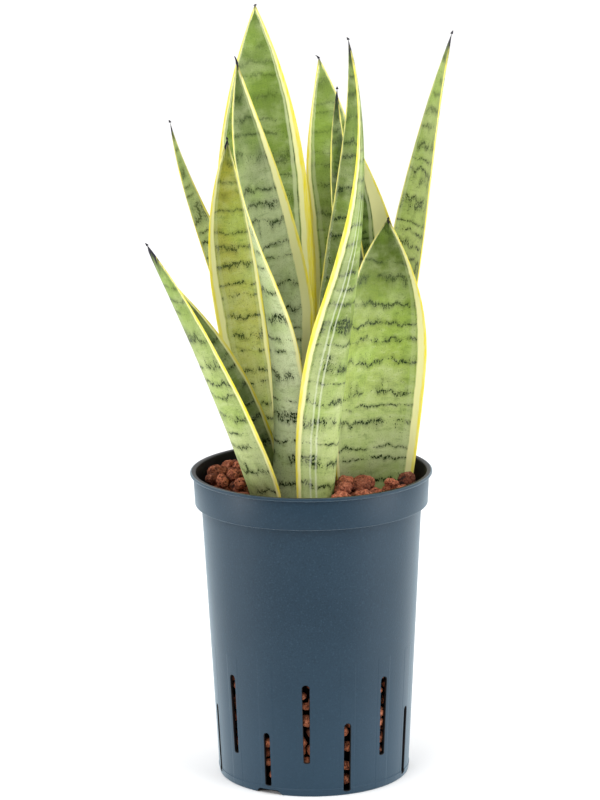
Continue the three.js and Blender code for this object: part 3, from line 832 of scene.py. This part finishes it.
def pot_section(wall, band_depth):
    """The pot's half section from the middle of its underside round to the middle of its floor,
    and the number of its points that are on the outside."""
    band_top = LIP_RADIUS - LIP_PROUD
    band_low = band_top - BAND_DRAFT
    wall_top = band_low - BAND_STEP
    ledge = POT_HEIGHT - band_depth
    foot_round = 0.9 * MM
    bead = LIP_DEPTH / 2
    outside = [(0, 0), (FOOT_RADIUS * 0.6, 0)]
    outside += arc((FOOT_RADIUS - foot_round, foot_round), (foot_round, foot_round), -90, 0, 5)
    slope = (wall_top - FOOT_RADIUS) / ledge
    outside += [(FOOT_RADIUS + slope * FOOT_LINE + FOOT_LINE_PROUD, FOOT_LINE),
                (FOOT_RADIUS + slope * FOOT_LINE, FOOT_LINE + 0.4 * MM)]
    outside += [(FOOT_RADIUS + (wall_top - FOOT_RADIUS) * share, ledge * share)
                for share in (0.1, 0.25, 0.4, 0.55, 0.7, 0.85, 0.99)]
    outside += [(wall_top, ledge), (band_low - 2 * LEDGE_EASE, ledge)]
    outside += arc((band_low - LEDGE_EASE, ledge + LEDGE_EASE), (LEDGE_EASE, LEDGE_EASE), -90, 0, 5)
    outside += [(band_low, ledge + 2 * LEDGE_EASE)]
    outside += [(band_top, POT_HEIGHT - LIP_DEPTH - 0.9 * MM)]
    outside += [(band_top - 0.25 * MM, POT_HEIGHT - LIP_DEPTH - 0.2 * MM)]
    outside += arc((LIP_RADIUS - bead, POT_HEIGHT - bead), (bead, bead), -80, 90, 12)
    inside = arc((band_top - wall + 1 * MM, POT_HEIGHT - 1 * MM), (1 * MM, 1 * MM), 90, 180, 5)
    inside += [(band_low - wall, ledge + wall), (wall_top - wall, ledge + wall)]
    inside += [(FOOT_RADIUS - wall, POT_FLOOR), (0, POT_FLOOR)]
    return outside + inside, len(outside)


def turned_mesh(name, section, sides, outside_points):
    """A closed mesh turned about the pot's axis. Faces after the outside's have material 1."""
    mesh = bpy.data.meshes.new(name)
    work = bmesh.new()
    rings = []
    for radius, height in section:
        if radius < 1e-6:
            rings.append([work.verts.new((0, 0, height))])
            continue
        ring = []
        for k in range(sides):
            turn = 2 * math.pi * k / sides
            ring.append(work.verts.new((radius * math.cos(turn), radius * math.sin(turn), height)))
        rings.append(ring)
    for index in range(len(rings) - 1):
        low, high = rings[index], rings[index + 1]
        for k in range(sides):
            after = (k + 1) % sides
            corners = [low[k % len(low)], low[after % len(low)], high[after % len(high)],
                       high[k % len(high)]]
            face = work.faces.new(list(dict.fromkeys(corners)))
            face.material_index = 0 if index < outside_points - 1 else 1
    bmesh.ops.recalc_face_normals(work, faces=work.faces)
    work.to_mesh(mesh)
    work.free()
    return mesh


def prism_between(work, outlines):
    """A closed solid whose skin runs through outlines, each a list of the same number of points."""
    rings = [[work.verts.new(point) for point in outline] for outline in outlines]
    work.faces.new(reversed(rings[0]))
    work.faces.new(rings[-1])
    for near, far in zip(rings, rings[1:]):
        for k in range(len(near)):
            after = (k + 1) % len(near)
            work.faces.new((near[k], near[after], far[after], far[k]))


def slot_outline(slot, grow):
    """A slot's outline as (sideways, height) points: round above, nearly square below."""
    low, high, low_width, high_width = slot
    flattened = 0.35 * low_width / 2
    points = arc((0, low + flattened), (low_width / 2 + grow, flattened + grow), 180, 360, 12)
    points += arc((0, high - high_width / 2), (high_width / 2 + grow, high_width / 2 + grow), 0, 180, 12)
    return points


def wall_radius(height, wall_top, shoulder):
    return FOOT_RADIUS + (wall_top - FOOT_RADIUS) * height / shoulder


def pot_cutters(wall, band_depth):
    """The solids that cut the slots, eased at the wall's outer face, and the drain notches."""
    wall_top = LIP_RADIUS - LIP_PROUD - BAND_DRAFT - BAND_STEP
    shoulder = POT_HEIGHT - band_depth
    ease = 0.35 * MM
    work = bmesh.new()
    farthest = SLOT_COUNT // 2
    for place in range(-farthest, farthest + 1):
        slot = HIGH_SLOT if place % 2 == 0 else SHORT_SLOT if place == -1 else LOW_SLOT
        turn = Matrix.Rotation(SLOT_TURN + place * SLOT_PITCH, 3, "Z")
        outlines = []
        for depth, grow in ((-2.5 * wall, 0), (-ease, 0), (0, ease), (2 * MM, ease)):
            outlines.append([
                turn @ Vector((x, -(wall_radius(z, wall_top, shoulder) + depth), z))
                for x, z in slot_outline(slot, grow)])
        prism_between(work, outlines)
    for k in range(NOTCH_COUNT):
        turn = Matrix.Rotation(NOTCH_TURN + 2 * math.pi * k / NOTCH_COUNT, 3, "Z")
        half, sloped = NOTCH_WIDTH / 2, NOTCH_WIDTH / 2 - NOTCH_RUNOUT
        shape = [(-half, -1 * MM), (half, -1 * MM), (half, 0), (sloped, NOTCH_HEIGHT),
                 (-sloped, NOTCH_HEIGHT), (-half, 0)]
        prism_between(work, [[turn @ Vector((x, -reach, z)) for x, z in shape]
                             for reach in (FOOT_RADIUS - NOTCH_REACH, FOOT_RADIUS + 5 * MM)])
    bmesh.ops.recalc_face_normals(work, faces=work.faces)
    mesh = bpy.data.meshes.new("pot_cutters")
    # The cut faces take material 1, the near-black inside plastic: painted shade on the slots' and
    # notches' sides.
    for face in work.faces:
        face.material_index = 1
    work.to_mesh(mesh)
    work.free()
    return mesh


def perforated_tree():
    """The tree that cuts all the slots and notches out of the pot's turned wall."""
    tree, wiring, entry, end = group_tree(
        "Perforated wall", "GeometryNodeTree",
        [("Wall", GEOMETRY, None), ("Cutters", "NodeSocketObject", None)], [("Geometry", GEOMETRY)])
    cutters = wiring.output("GeometryNodeObjectInfo", {"Object": entry["Cutters"]}, "Geometry",
                            transform_space="RELATIVE")
    cut = wiring.output("GeometryNodeMeshBoolean", {0: entry["Wall"], 1: cutters}, "Mesh",
                        operation="DIFFERENCE", solver="EXACT")
    wiring.feed(end["Geometry"], wiring.output("GeometryNodeRealizeInstances", {"Geometry": cut}))
    return tree


def moulded_plastic(name, colour, marks_and_painted_bounce):
    """Satin moulded plastic with a fine sparkle, and marks left by the mould's inserts."""
    material, wiring, shader = new_material(name)
    place = object_place(wiring)
    grain = wiring.group(grain_group, {"Vector": place, "Scale": 1000.0})
    patches = wiring.noise(place, 22.0, 3.0, 0.6)
    tone = wiring.mixed(wiring.ramp(patches, 0.3, 0.7, 0.0, 0.25), colour,
                        tuple(min(1, 1.35 * part + 0.01) for part in colour))
    tone = wiring.mixed(wiring.ramp(grain["Value"], 0.53, 0.68, 0.0, 0.35), tone,
                        tuple(0.4 * part for part in colour))
    tone = wiring.mixed(wiring.ramp(grain["Value"], 0.45, 0.3, 0.0, 0.28), tone,
                        tuple(min(1, 2.2 * part + 0.02) for part in colour))
    if marks_and_painted_bounce:
        # Painted light: lighter towards the foot, standing in for light thrown up from the floor.
        painted_floor_bounce = wiring.ramp(wiring.height(place), 0.12, 0.0, 0.0, 0.5)
        tone = wiring.mixed(painted_floor_bounce, tone, tuple(1.75 * part + 0.01 for part in colour))
    wiring.feed(shader["Base Color"], tone)
    wiring.feed(shader["Roughness"], wiring.ramp(patches, 0.2, 0.8, 0.42, 0.52))
    shader["Specular IOR Level"].default_value = 0.23
    if marks_and_painted_bounce:
        shader["Sheen Weight"].default_value = 0.6
        shader["Sheen Roughness"].default_value = 0.4
        shader["Sheen Tint"].default_value = (0.72, 0.9, 1, 1)
    normal = bump(wiring, grain["Height"], 0.00012, 0.5)
    if marks_and_painted_bounce:
        x, y, z = wiring.split(place)
        angle = wiring.math("ARCTAN2", x, -y)
        turns = (angle - SLOT_TURN) / SLOT_PITCH
        off = wiring.math("ABSOLUTE", wiring.math("FRACT", turns + 8.5) - 0.5)
        away = off * (SLOT_PITCH * FOOT_RADIUS)
        insert = wiring.ramp(away, 5.1 * MM, 4.1 * MM)
        insert = insert * wiring.ramp(z, 86 * MM, 83 * MM)
        normal = bump(wiring, insert, 0.00015, 0.5, normal)
    wiring.feed(shader["Normal"], normal)
    return material


# ---------------------------------------------------------------- clay pebbles

def shaded_skin(name):
    """Clay so deep in the gaps that next to no light comes back from it."""
    material, wiring, shader = new_material(name)
    patches = wiring.noise(object_place(wiring), 300.0, 3.0)
    wiring.feed(shader["Base Color"], wiring.mixed(patches, paint(8, 6, 6), paint(22, 14, 12)))
    shader["Roughness"].default_value = 1.0
    shader["Specular IOR Level"].default_value = 0.0
    wiring.feed(shader["Normal"], bump(wiring, patches, 0.002))
    return material


def pebble_skin(name, fired, burnt):
    """Rough fired clay: pitted, with each pebble a little lighter or darker than the next."""
    material, wiring, shader = new_material(name)
    place = object_place(wiring)
    tone = attribute(wiring, "tone")
    grain = wiring.group(grain_group, {"Vector": place, "Scale": 1300.0})
    lumps = wiring.noise(place, 480.0, 4.0, 0.7)
    pits = wiring.output("ShaderNodeTexVoronoi", {"Vector": place, "Scale": 520.0,
                                                  "Randomness": 1.0}, "Distance")
    colour = wiring.mixed(wiring.ramp(tone, -0.3, 1.0), burnt, fired)
    colour = wiring.mixed(wiring.ramp(lumps, 0.56, 0.36, 0.0, 0.9), colour, burnt)
    colour = wiring.mixed(wiring.ramp(lumps, 0.54, 0.7, 0.0, 0.6), colour, paint(232, 164, 132))
    colour = wiring.mixed(wiring.ramp(pits, 0.3, 0.12, 0.0, 0.8), colour, paint(52, 28, 22))
    dust = wiring.ramp(grain["Value"], 0.58, 0.85, 0.0, 0.35)
    colour = wiring.mixed(dust, colour, paint(60, 36, 30))
    charred = wiring.ramp(wiring.noise(place, 95.0, 3.0, 0.7), 0.62, 0.7, 0.0, 0.85)
    colour = wiring.mixed(charred, colour, paint(34, 28, 30))
    wiring.feed(shader["Base Color"], colour)
    wiring.feed(shader["Roughness"], wiring.ramp(lumps, 0.2, 0.8, 0.85, 0.98))
    shader["Specular IOR Level"].default_value = 0.25
    normal = bump(wiring, lumps, 0.0032, 1.0)
    normal = bump(wiring, wiring.ramp(pits, 0.0, 0.35), 0.0009, 0.9, normal)
    normal = bump(wiring, grain["Height"], 0.0004, 0.7, normal)
    wiring.feed(shader["Normal"], normal)
    return material


def lumpy(wiring, geometry, scale, amount, seed):
    """Pushes a skin in and out along its normals by layered noise."""
    shifted = wiring.vector("ADD", wiring.position(), wiring.xyz(seed, 0.0, 0.0))
    swell = wiring.noise(shifted, scale, 3.0, 0.55) - 0.5
    offset = wiring.scaled(wiring.output("GeometryNodeInputNormal"), swell * amount)
    return wiring.output("GeometryNodeSetPosition", {"Geometry": geometry, "Offset": offset})


def clay_lumps(wiring, geometry, broad_seed, fine_seed):
    """Broad lumps with finer ones on them, as in fired clay."""
    broad = lumpy(wiring, geometry, 210.0, 3.6 * MM, broad_seed)
    return lumpy(wiring, broad, 620.0, 1.8 * MM, fine_seed)


def toned(wiring, geometry, seed):
    """Stores one random tone for each separate pebble."""
    island = wiring.output("GeometryNodeInputMeshIsland", output="Island Index")
    return wiring.store(geometry, "tone", wiring.chance(0.0, 1.0, {"ID": island, "Seed": seed}))


def pressed(wiring, geometry, entry):
    """Flattens pebbles where they would run into the pot's wall."""
    x, y, z = wiring.split(wiring.position())
    limit = z * entry["Wall Slope"] + entry["Wall At Foot"]
    wider = wiring.math("GREATER_THAN", z, entry["Ledge"]) * BAND_STEP
    limit = limit + wider
    out = wiring.length(wiring.xyz(x, y, 0.0))
    shrink = limit / wiring.math("MAXIMUM", wiring.math("MAXIMUM", out, limit), 0.001)
    inwards = wiring.xyz(x * shrink, y * shrink, z)
    return wiring.output("GeometryNodeSetPosition", {"Geometry": geometry, "Position": inwards})


def scattered_tree():
    """The tree that lays pebbles over a surface, apart from each other and clear of other pieces."""
    tree, wiring, entry, end = group_tree(
        "Scattered pebbles", "GeometryNodeTree",
        [("Surface", GEOMETRY, None), ("Keep Clear Of", "NodeSocketObject", None),
         ("Spacing", FLOAT, 0.009), ("Clear By", FLOAT, 0.005), ("Reach", FLOAT, 0.06),
         ("Smallest", FLOAT, 0.0038),
         ("Largest", FLOAT, 0.0052), ("Wall At Foot", FLOAT, 0.057), ("Wall Slope", FLOAT, 0.05),
         ("Ledge", FLOAT, 0.171), ("Stagger", FLOAT, 0.0), ("Detail", INTEGER, 2),
         ("Seed", INTEGER, 0), ("Skin", "NodeSocketMaterial", None)],
        [("Geometry", GEOMETRY)])
    points = wiring.output("GeometryNodeDistributePointsOnFaces",
                           {"Mesh": entry["Surface"], "Distance Min": entry["Spacing"],
                            "Density Max": 60000.0, "Seed": entry["Seed"]}, "Points",
                           distribute_method="POISSON")
    others = wiring.output("GeometryNodeObjectInfo", {"Object": entry["Keep Clear Of"]},
                           "Geometry", transform_space="RELATIVE")
    gap = wiring.output("GeometryNodeProximity", {0: others}, "Distance", target_element="FACES")
    too_near = wiring.math("LESS_THAN", gap, entry["Clear By"])
    flat = wiring.vector("MULTIPLY", wiring.position(), (1, 1, 0))
    too_far = wiring.math("GREATER_THAN", wiring.length(flat), entry["Reach"])
    kept = wiring.output("GeometryNodeDeleteGeometry",
                         {"Geometry": points, "Selection": wiring.math("MAXIMUM", too_near, too_far)},
                         domain="POINT")
    drop = (wiring.chance(0.0, 1.0, {"Seed": entry["Seed"]}) - 0.5) * entry["Stagger"]
    staggered = wiring.output("GeometryNodeSetPosition", {
        "Geometry": kept, "Offset": wiring.xyz(0.0, 0.0, drop)})
    ball = wiring.output("GeometryNodeMeshIcoSphere",
                         {"Radius": 1.0, "Subdivisions": entry["Detail"]}, "Mesh")
    size = wiring.chance(entry["Smallest"], entry["Largest"])
    slim = wiring.chance((0.95, 0.75, 0.66), (1.25, 1.0, 0.9))
    turn = wiring.chance((-0.5, -0.5, 0.0), (0.5, 0.5, 6.283))
    placed = wiring.output("GeometryNodeInstanceOnPoints",
                           {"Points": staggered, "Instance": ball, "Rotation": turn,
                            "Scale": wiring.scaled(slim, size)})
    real = wiring.output("GeometryNodeRealizeInstances", {"Geometry": placed})
    rough = pressed(wiring, clay_lumps(wiring, real, 0.31, 0.57), entry)
    rough = toned(wiring, rough, entry["Seed"])
    wiring.finish(rough, entry["Skin"], end)
    return tree


def rough_pebble_tree():
    """The tree that turns smooth pebbles into lumpy, pitted ones of the same size."""
    tree, wiring, entry, end = group_tree(
        "Rough pebbles", "GeometryNodeTree",
        [("Pebbles", GEOMETRY, None), ("Seed", INTEGER, 0), ("Skin", "NodeSocketMaterial", None)],
        [("Geometry", GEOMETRY)])
    fine = wiring.output("GeometryNodeSubdivisionSurface", {"Mesh": entry["Pebbles"], "Level": 2})
    rough = toned(wiring, clay_lumps(wiring, fine, 0.77, 0.13), entry["Seed"])
    wiring.finish(rough, entry["Skin"], end)
    return tree


def joined_copy(name, objects):
    """One mesh holding a merged copy of each object's mesh."""
    work = bmesh.new()
    for item in objects:
        work.from_mesh(item.data)
    bmesh.ops.remove_doubles(work, verts=work.verts, dist=0.00001)
    mesh = bpy.data.meshes.new(name)
    work.to_mesh(mesh)
    work.free()
    return mesh


def rhizome_tree():
    """The tree that makes one rhizome: a ringed, lumpy root with round ends."""
    tree, wiring, entry, end = group_tree(
        "Rhizome", "GeometryNodeTree",
        [("Start", VECTOR, None), ("End", VECTOR, None), ("Radius", FLOAT, 0.0075),
         ("Rings", FLOAT, 2600.0), ("Skin", "NodeSocketMaterial", None)], [("Geometry", GEOMETRY)])
    line = wiring.output("GeometryNodeCurvePrimitiveLine",
                         {"Start": entry["Start"], "End": entry["End"]})
    fine = wiring.output("GeometryNodeResampleCurve", {"Curve": line, "Count": 90})
    along = wiring.outputs(wiring.node("GeometryNodeSplineParameter"))
    ends = wiring.math("ABSOLUTE", along["Factor"] * 2.0 - 1.0)
    ends = wiring.math("POWER", ends, 6.0)
    round_ends = wiring.math("SQRT", wiring.math("MAXIMUM", 1.0 - ends, 0.0))
    rings = wiring.math("SINE", along["Length"] * entry["Rings"])
    radius = round_ends * (rings * 0.03 + 0.94) * entry["Radius"]
    sized = wiring.output("GeometryNodeSetCurveRadius", {"Curve": fine, "Radius": radius})
    section = wiring.output("GeometryNodeCurvePrimitiveCircle", {"Resolution": 32, "Radius": 1.0})
    skin = wiring.node("GeometryNodeCurveToMesh",
                       {"Curve": sized, "Profile Curve": section, "Fill Caps": True})
    if "Scale" in skin.inputs:
        wiring.feed(skin.inputs["Scale"], radius)
    closed = wiring.output("GeometryNodeMergeByDistance",
                           {"Geometry": wiring.outputs(skin)["Mesh"], "Distance": WELD})
    wiring.finish(lumpy(wiring, closed, 120.0, 1.6 * MM, 0.5), entry["Skin"], end)
    return tree


def root_skin():
    """Dry straw-coloured root skin with darker rings."""
    settings = bpy.context.scene.snake_plant_clay
    material, wiring, shader = new_material("root_skin")
    place = object_place(wiring)
    patches = wiring.noise(place, 160.0, 4.0, 0.6)
    grain = wiring.group(grain_group, {"Vector": place, "Scale": 900.0})
    colour = wiring.mixed(wiring.ramp(patches, 0.35, 0.7), settings.rhizome, paint(122, 84, 48))
    colour = wiring.mixed(wiring.ramp(grain["Value"], 0.55, 0.8, 0.0, 0.5), colour,
                          paint(70, 46, 28))
    wiring.feed(shader["Base Color"], colour)
    wiring.feed(shader["Roughness"], wiring.ramp(patches, 0.2, 0.8, 0.7, 0.9))
    wiring.feed(shader["Normal"], bump(wiring, patches, 0.0008, 0.6))
    return material


# ---------------------------------------------------------------- operators

EYE_PLACE = (0.001978, -2.2459, 0.7448)
EYE_PITCH, EYE_ROLL, EYE_YAW = math.radians(12.783), math.radians(0.602), math.radians(-0.214)
LIGHTS_AIM_AT = Vector((0, 0, 0.22))
FLOOR_REACH = 8.0


class SNAKEPLANT_OT_stage(bpy.types.Operator):
    """Add the pale floor, the soft lights and the camera"""

    bl_idname = "snake_plant.stage"
    bl_label = "Stage"

    def execute(self, context):
        settings = context.scene.snake_plant_stage
        context.scene.view_settings.view_transform = "Standard"
        self.add_floor(context, settings)
        self.add_lights(context, settings)
        self.add_camera(context, settings)
        return {"FINISHED"}

    def add_floor(self, context, settings):
        mesh = bpy.data.meshes.new("floor")
        mesh.from_pydata([(x * FLOOR_REACH, y * FLOOR_REACH, 0)
                          for x, y in ((-1, -1), (1, -1), (1, 1), (-1, 1))], [], [(0, 1, 2, 3)])
        material, wiring, shader = new_material("pale_floor")
        faint = wiring.noise(object_place(wiring), 3.0, 2.0)
        wiring.feed(shader["Base Color"], wiring.mixed(
            wiring.ramp(faint, 0.3, 0.7, 0.0, 0.05), settings.floor, (0.9, 0.9, 0.9)))
        shader["Roughness"].default_value = 0.9
        shader["Specular IOR Level"].default_value = 0.1
        mesh.materials.append(material)
        placed("floor", mesh)

    def add_lights(self, context, settings):
        world = bpy.data.worlds.new("soft surround")
        context.scene.world = world
        world.use_nodes = True
        wiring = Wiring(world.node_tree)
        background = world.node_tree.nodes["Background"].inputs
        x, y, z = wiring.split(wiring.output("ShaderNodeTexCoord", output="Generated"))
        aside = wiring.math("ABSOLUTE", x)
        facing = aside * 0.75 + y
        level = wiring.ramp(facing, -0.75, 0.35, settings.dim_side, 1.0)
        level = wiring.math("MAXIMUM", level, wiring.ramp(z, 0.45, 0.9))
        shade = wiring.xyz(level, level, level)
        wiring.feed(background["Color"], shade)
        background["Strength"].default_value = settings.sky
        for name, power, place, size in (
            ("key light", settings.key, (-0.9, -1.6, 2.1), 1.2),
            ("fill light", settings.fill, (1.5, -1.3, 1.5), 1.0),
            ("low left light", settings.low, (-1.7, -0.55, 0.25), 0.6),
            ("low right light", 1.2 * settings.low, (1.7, -0.55, 0.2), 0.6),
        ):
            light = bpy.data.lights.new(name, "AREA")
            light.energy = power
            light.size = size
            lamp = placed(name, light)
            lamp.location = place
            lamp.rotation_euler = (LIGHTS_AIM_AT - Vector(place)).to_track_quat("-Z", "Y").to_euler()

    def add_camera(self, context, settings):
        camera = bpy.data.cameras.new("camera")
        camera.lens = settings.lens
        camera.sensor_width = 36
        camera.clip_end = 50
        eye = placed("camera", camera)
        eye.matrix_world = (Matrix.Translation(EYE_PLACE)
                            @ Matrix.Rotation(-EYE_YAW, 4, "Z")
                            @ Matrix.Rotation(math.pi / 2 - EYE_PITCH, 4, "X")
                            @ Matrix.Rotation(-EYE_ROLL, 4, "Z"))
        context.scene.camera = eye


class SNAKEPLANT_OT_pot(bpy.types.Operator):
    """Make the slotted culture pot"""

    bl_idname = "snake_plant.pot"
    bl_label = "Culture pot"

    def execute(self, context):
        settings = context.scene.snake_plant_pot
        section, outside_points = pot_section(settings.wall, settings.band_depth)
        wall = turned_mesh("turned_wall", section, settings.sides, outside_points)
        cutters = placed("pot_cutters", pot_cutters(settings.wall, settings.band_depth))
        # Material 1 is the near-black inside plastic: painted shade on the inner wall and on the slots'
        # and notches' cut faces.
        for name, colour, marks_and_painted_bounce in (("pot_plastic_outside", settings.outside, True),
                                    ("pot_plastic_inside", settings.inside, False)):
            plastic = moulded_plastic(name, tuple(colour), marks_and_painted_bounce)
            wall.materials.append(plastic)
            cutters.data.materials.append(plastic)
        pot = run_tree("slotted_pot", perforated_tree(), {"Cutters": cutters}, wall)
        bpy.data.objects.remove(cutters)
        smooth(pot.data, math.radians(32))
        finish_piece(pot, "pot_plastic", "culture_pot")
        return {"FINISHED"}


class SNAKEPLANT_OT_leaves(bpy.types.Operator):
    """Grow the eleven leaves"""

    bl_idname = "snake_plant.leaves"
    bl_label = "Leaves"

    def execute(self, context):
        settings = context.scene.snake_plant_leaves
        tree = leaf_tree()
        for seed, shape in enumerate(LEAF_SHAPES):
            foot, low, high, tip = leaf_points(shape)
            leaf = run_tree(shape.name + "_grown", tree, {
                "Foot": foot, "Low Handle": low, "High Handle": high, "Tip": tip,
                "Width": shape.width * MM, "Widest At": shape.widest_at,
                "Foot Share": shape.foot_share, "Taper": float(shape.taper),
                "Facing": [float(angle) for angle in shape.facing],
                "Channel": [float(angle) for angle in shape.channel],
                "Foot Thickness": settings.foot_thickness,
                "Tip Thickness": settings.tip_thickness, "Ripple": settings.ripple,
                "Seed": float(seed), "Spike": shape.spike * MM,
                "Curl": (shape.curl[0] * MM * 2, 0.0, shape.curl[1] * MM * 2),
                "Skin": leaf_skin(shape, seed + 1.0),
            })
            smooth(leaf.data, math.radians(60))
            finish_piece(leaf, "leaf_skin", shape.name)
        return {"FINISHED"}


class SNAKEPLANT_OT_rhizomes(bpy.types.Operator):
    """Lay the three rhizomes under the leaves"""

    bl_idname = "snake_plant.rhizomes"
    bl_label = "Rhizomes"

    def execute(self, context):
        tree = rhizome_tree()
        skin = root_skin()
        for name, rising in (("rhizome_front", False), ("rhizome_left", True), ("rhizome_right", False)):
            low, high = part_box(name)
            radius = (high.z - low.z) / 2 + 0.5 * MM
            middle = (low.z + high.z) / 2
            start = Vector((low.x + radius, low.y if rising else high.y, middle))
            end = Vector((high.x - radius, high.y if rising else low.y, middle))
            start.y += radius if rising else -radius
            end.y += -radius if rising else radius
            along = (end - start).normalized() * (radius - 1 * MM)
            piece = run_tree(name + "_root", tree, {"Start": start - along, "End": end + along,
                                                    "Radius": radius, "Skin": skin})
            smooth(piece.data)
            finish_piece(piece, "rhizome_skin", name)
        return {"FINISHED"}


# Each layer of packed pebbles lies round a flat disc. In millimetres: the disc's middle, radius
# and height over the leaves' feet, how far its pebbles are staggered up and down, how clear they
# keep of leaves and loose pebbles, and their largest radius; then how finely they are divided.
HEAPS = (
    ("left heap", (-46, 20), 26, 13.5, 4, 3, 6.2, 4),
    ("front heap", (24, -12), 13, 12.5, 3, 3, 6.2, 4),
    ("right heap", (60, -4), 15, 12, 3, 3, 6.2, 4),
    ("front rise", (25, -42), 12, 11, 2, 3, 6.2, 4),
    ("left top", (-46, 10), 34, 8, 3, 2.4, 5.2, 3),
    ("right top", (44, -14), 34, 7.5, 3, 2.4, 5.2, 3),
    ("back top", (4, 46), 32, 8, 3, 2.4, 5.2, 3),
    ("upper", (0, 0), 70, 3, 2, 2.4, 5.2, 2),
    ("lower", (0, 0), 66, -4.9, 1.5, 0, 5.2, 2),
)
LARGEST_PEBBLE = 5.6 * MM
CORE_DEPTH = 7 * MM


class SNAKEPLANT_OT_pebbles(bpy.types.Operator):
    """Pack the bed with clay pebbles and roughen the loose ones on top"""

    bl_idname = "snake_plant.pebbles"
    bl_label = "Clay pebbles"

    def execute(self, context):
        settings = context.scene.snake_plant_clay
        skin = pebble_skin("fired_clay", settings.fired, settings.burnt)
        # Painted light: a lighter clay for the pebbles behind the slots, to make them as bright as lit
        # pebbles though little light reaches them inside the pot.
        slot_painted_light_skin = pebble_skin("fired_clay_at_the_slots", paint(232, 142, 100), settings.burnt)
        loose_nodes = [frame["nodes"][name] for name in LOOSE_PEBBLES]
        loose = joined_copy("loose_pebbles", loose_nodes)
        leaves = [item for item in context.scene.objects
                  if item.name.startswith("leaf_") and item.name.endswith("_grown")]
        clear = placed("keep_clear", joined_copy("keep_clear", leaves + loose_nodes))
        rough = run_tree("loose_clay_pebbles", rough_pebble_tree(),
                         {"Seed": settings.seed, "Skin": skin}, loose)
        smooth(rough.data)
        finish_piece(rough, "fired_clay", *LOOSE_PEBBLES)

        layers = self.lay_pebbles(context, clear, skin)
        # The core under the layers takes the near-black clay: painted shade seen through the gaps
        # between pebbles.
        core_section = [(0, 4 * MM), (FOOT_RADIUS - CORE_DEPTH, 4 * MM),
                        (BED_HIGH.x - CORE_DEPTH, BED_HIGH.z - 10 * MM), (0, BED_HIGH.z - 9 * MM)]
        core = turned_mesh("core", core_section, 64, len(core_section))
        for material in (shaded_skin("shaded_clay"), skin, slot_painted_light_skin):
            core.materials.append(material)
        packed = placed("packed_clay_pebbles", core)
        self.merge_layers(core, layers)
        smooth(core)
        bpy.data.objects.remove(clear)
        finish_piece(packed, "fired_clay", "clay_pebble_bed")
        return {"FINISHED"}

    def lay_pebbles(self, context, clear, skin):
        """The layers on top, one for each heap, and a last one behind the slots."""
        settings = context.scene.snake_plant_clay
        pot = context.scene.snake_plant_pot
        tree = scattered_tree()
        band_low = LIP_RADIUS - LIP_PROUD - BAND_DRAFT
        upper_radius = band_low - pot.wall - LARGEST_PEBBLE
        ledge = POT_HEIGHT - pot.band_depth
        common = {
            "Keep Clear Of": clear, "Skin": skin, "Ledge": ledge + pot.wall,
            "Wall At Foot": FOOT_RADIUS - pot.wall - 0.2 * MM,
            "Wall Slope": (band_low - BAND_STEP - FOOT_RADIUS) / ledge}
        layers = []
        for name, middle, radius, height, stagger, clear_by, largest, detail in HEAPS:
            level = FOOT_LEVEL + height * MM
            disc = turned_mesh(name, [(0, level), (radius * MM, level)], 48, 3)
            disc.transform(Matrix.Translation((middle[0] * MM, middle[1] * MM, 0)))
            reach = BED_HIGH.x - LARGEST_PEBBLE if name == "lower" else upper_radius
            layers.append(run_tree(name + " layer", tree, {
                **common, "Spacing": settings.spacing, "Clear By": clear_by * MM, "Reach": reach,
                "Stagger": stagger * MM, "Detail": detail, "Largest": largest * MM,
                "Seed": settings.seed + len(layers)}, disc))
        radius = FOOT_RADIUS - LARGEST_PEBBLE
        shell = turned_mesh("shell", [(radius, 5 * MM), (radius + 4 * MM, 80 * MM)], 96, 3)
        layers.append(run_tree("side_layer", tree, {
            **common, "Spacing": 0.68 * settings.spacing, "Clear By": 0.0, "Reach": upper_radius,
            "Stagger": 0.0, "Detail": 2, "Smallest": 3.3 * MM, "Largest": 4.6 * MM,
            "Seed": settings.seed + 5}, shell))
        return layers

    def merge_layers(self, core, layers):
        """Joins the layers to the core. Their faces have material 1, or 2 behind the slots."""
        work = bmesh.new()
        work.from_mesh(core)
        for layer in layers:
            first = len(work.faces)
            work.from_mesh(layer.data)
            work.faces.ensure_lookup_table()
            for face in work.faces[first:]:
                face.material_index = 2 if layer is layers[-1] else 1
        for layer in layers:
            bpy.data.objects.remove(layer)
        work.to_mesh(core)
        work.free()


class SNAKEPLANT_PT_panel(bpy.types.Panel):
    """Lists the pieces and their settings"""

    bl_idname = "SNAKEPLANT_PT_panel"
    bl_label = "Snake Plant"
    bl_space_type = "VIEW_3D"
    bl_region_type = "UI"
    bl_category = "Snake Plant"

    def draw(self, context):
        for operator, settings in PANEL_ROWS:
            box = self.layout.box()
            box.operator(operator.bl_idname)
            group = getattr(context.scene, settings)
            for name in group.__annotations__:
                box.prop(group, name)


PANEL_ROWS = (
    (SNAKEPLANT_OT_stage, "snake_plant_stage"),
    (SNAKEPLANT_OT_pot, "snake_plant_pot"),
    (SNAKEPLANT_OT_leaves, "snake_plant_leaves"),
    (SNAKEPLANT_OT_rhizomes, "snake_plant_clay"),
    (SNAKEPLANT_OT_pebbles, "snake_plant_clay"),
)
SETTINGS = {
    "snake_plant_stage": StageSettings,
    "snake_plant_pot": PotSettings,
    "snake_plant_leaves": LeafSettings,
    "snake_plant_clay": ClaySettings,
}
CLASSES = (*SETTINGS.values(), *(row[0] for row in PANEL_ROWS), SNAKEPLANT_PT_panel)


def register():
    for item in CLASSES:
        bpy.utils.register_class(item)
    for name, group in SETTINGS.items():
        setattr(bpy.types.Scene, name, bpy.props.PointerProperty(type=group))


def unregister():
    for name in SETTINGS:
        delattr(bpy.types.Scene, name)
    for item in reversed(CLASSES):
        bpy.utils.unregister_class(item)


def main():
    register()
    bpy.ops.snake_plant.stage()
    bpy.ops.snake_plant.pot()
    bpy.ops.snake_plant.leaves()
    bpy.ops.snake_plant.rhizomes()
    bpy.ops.snake_plant.pebbles()


if __name__ == "__main__":
    main()
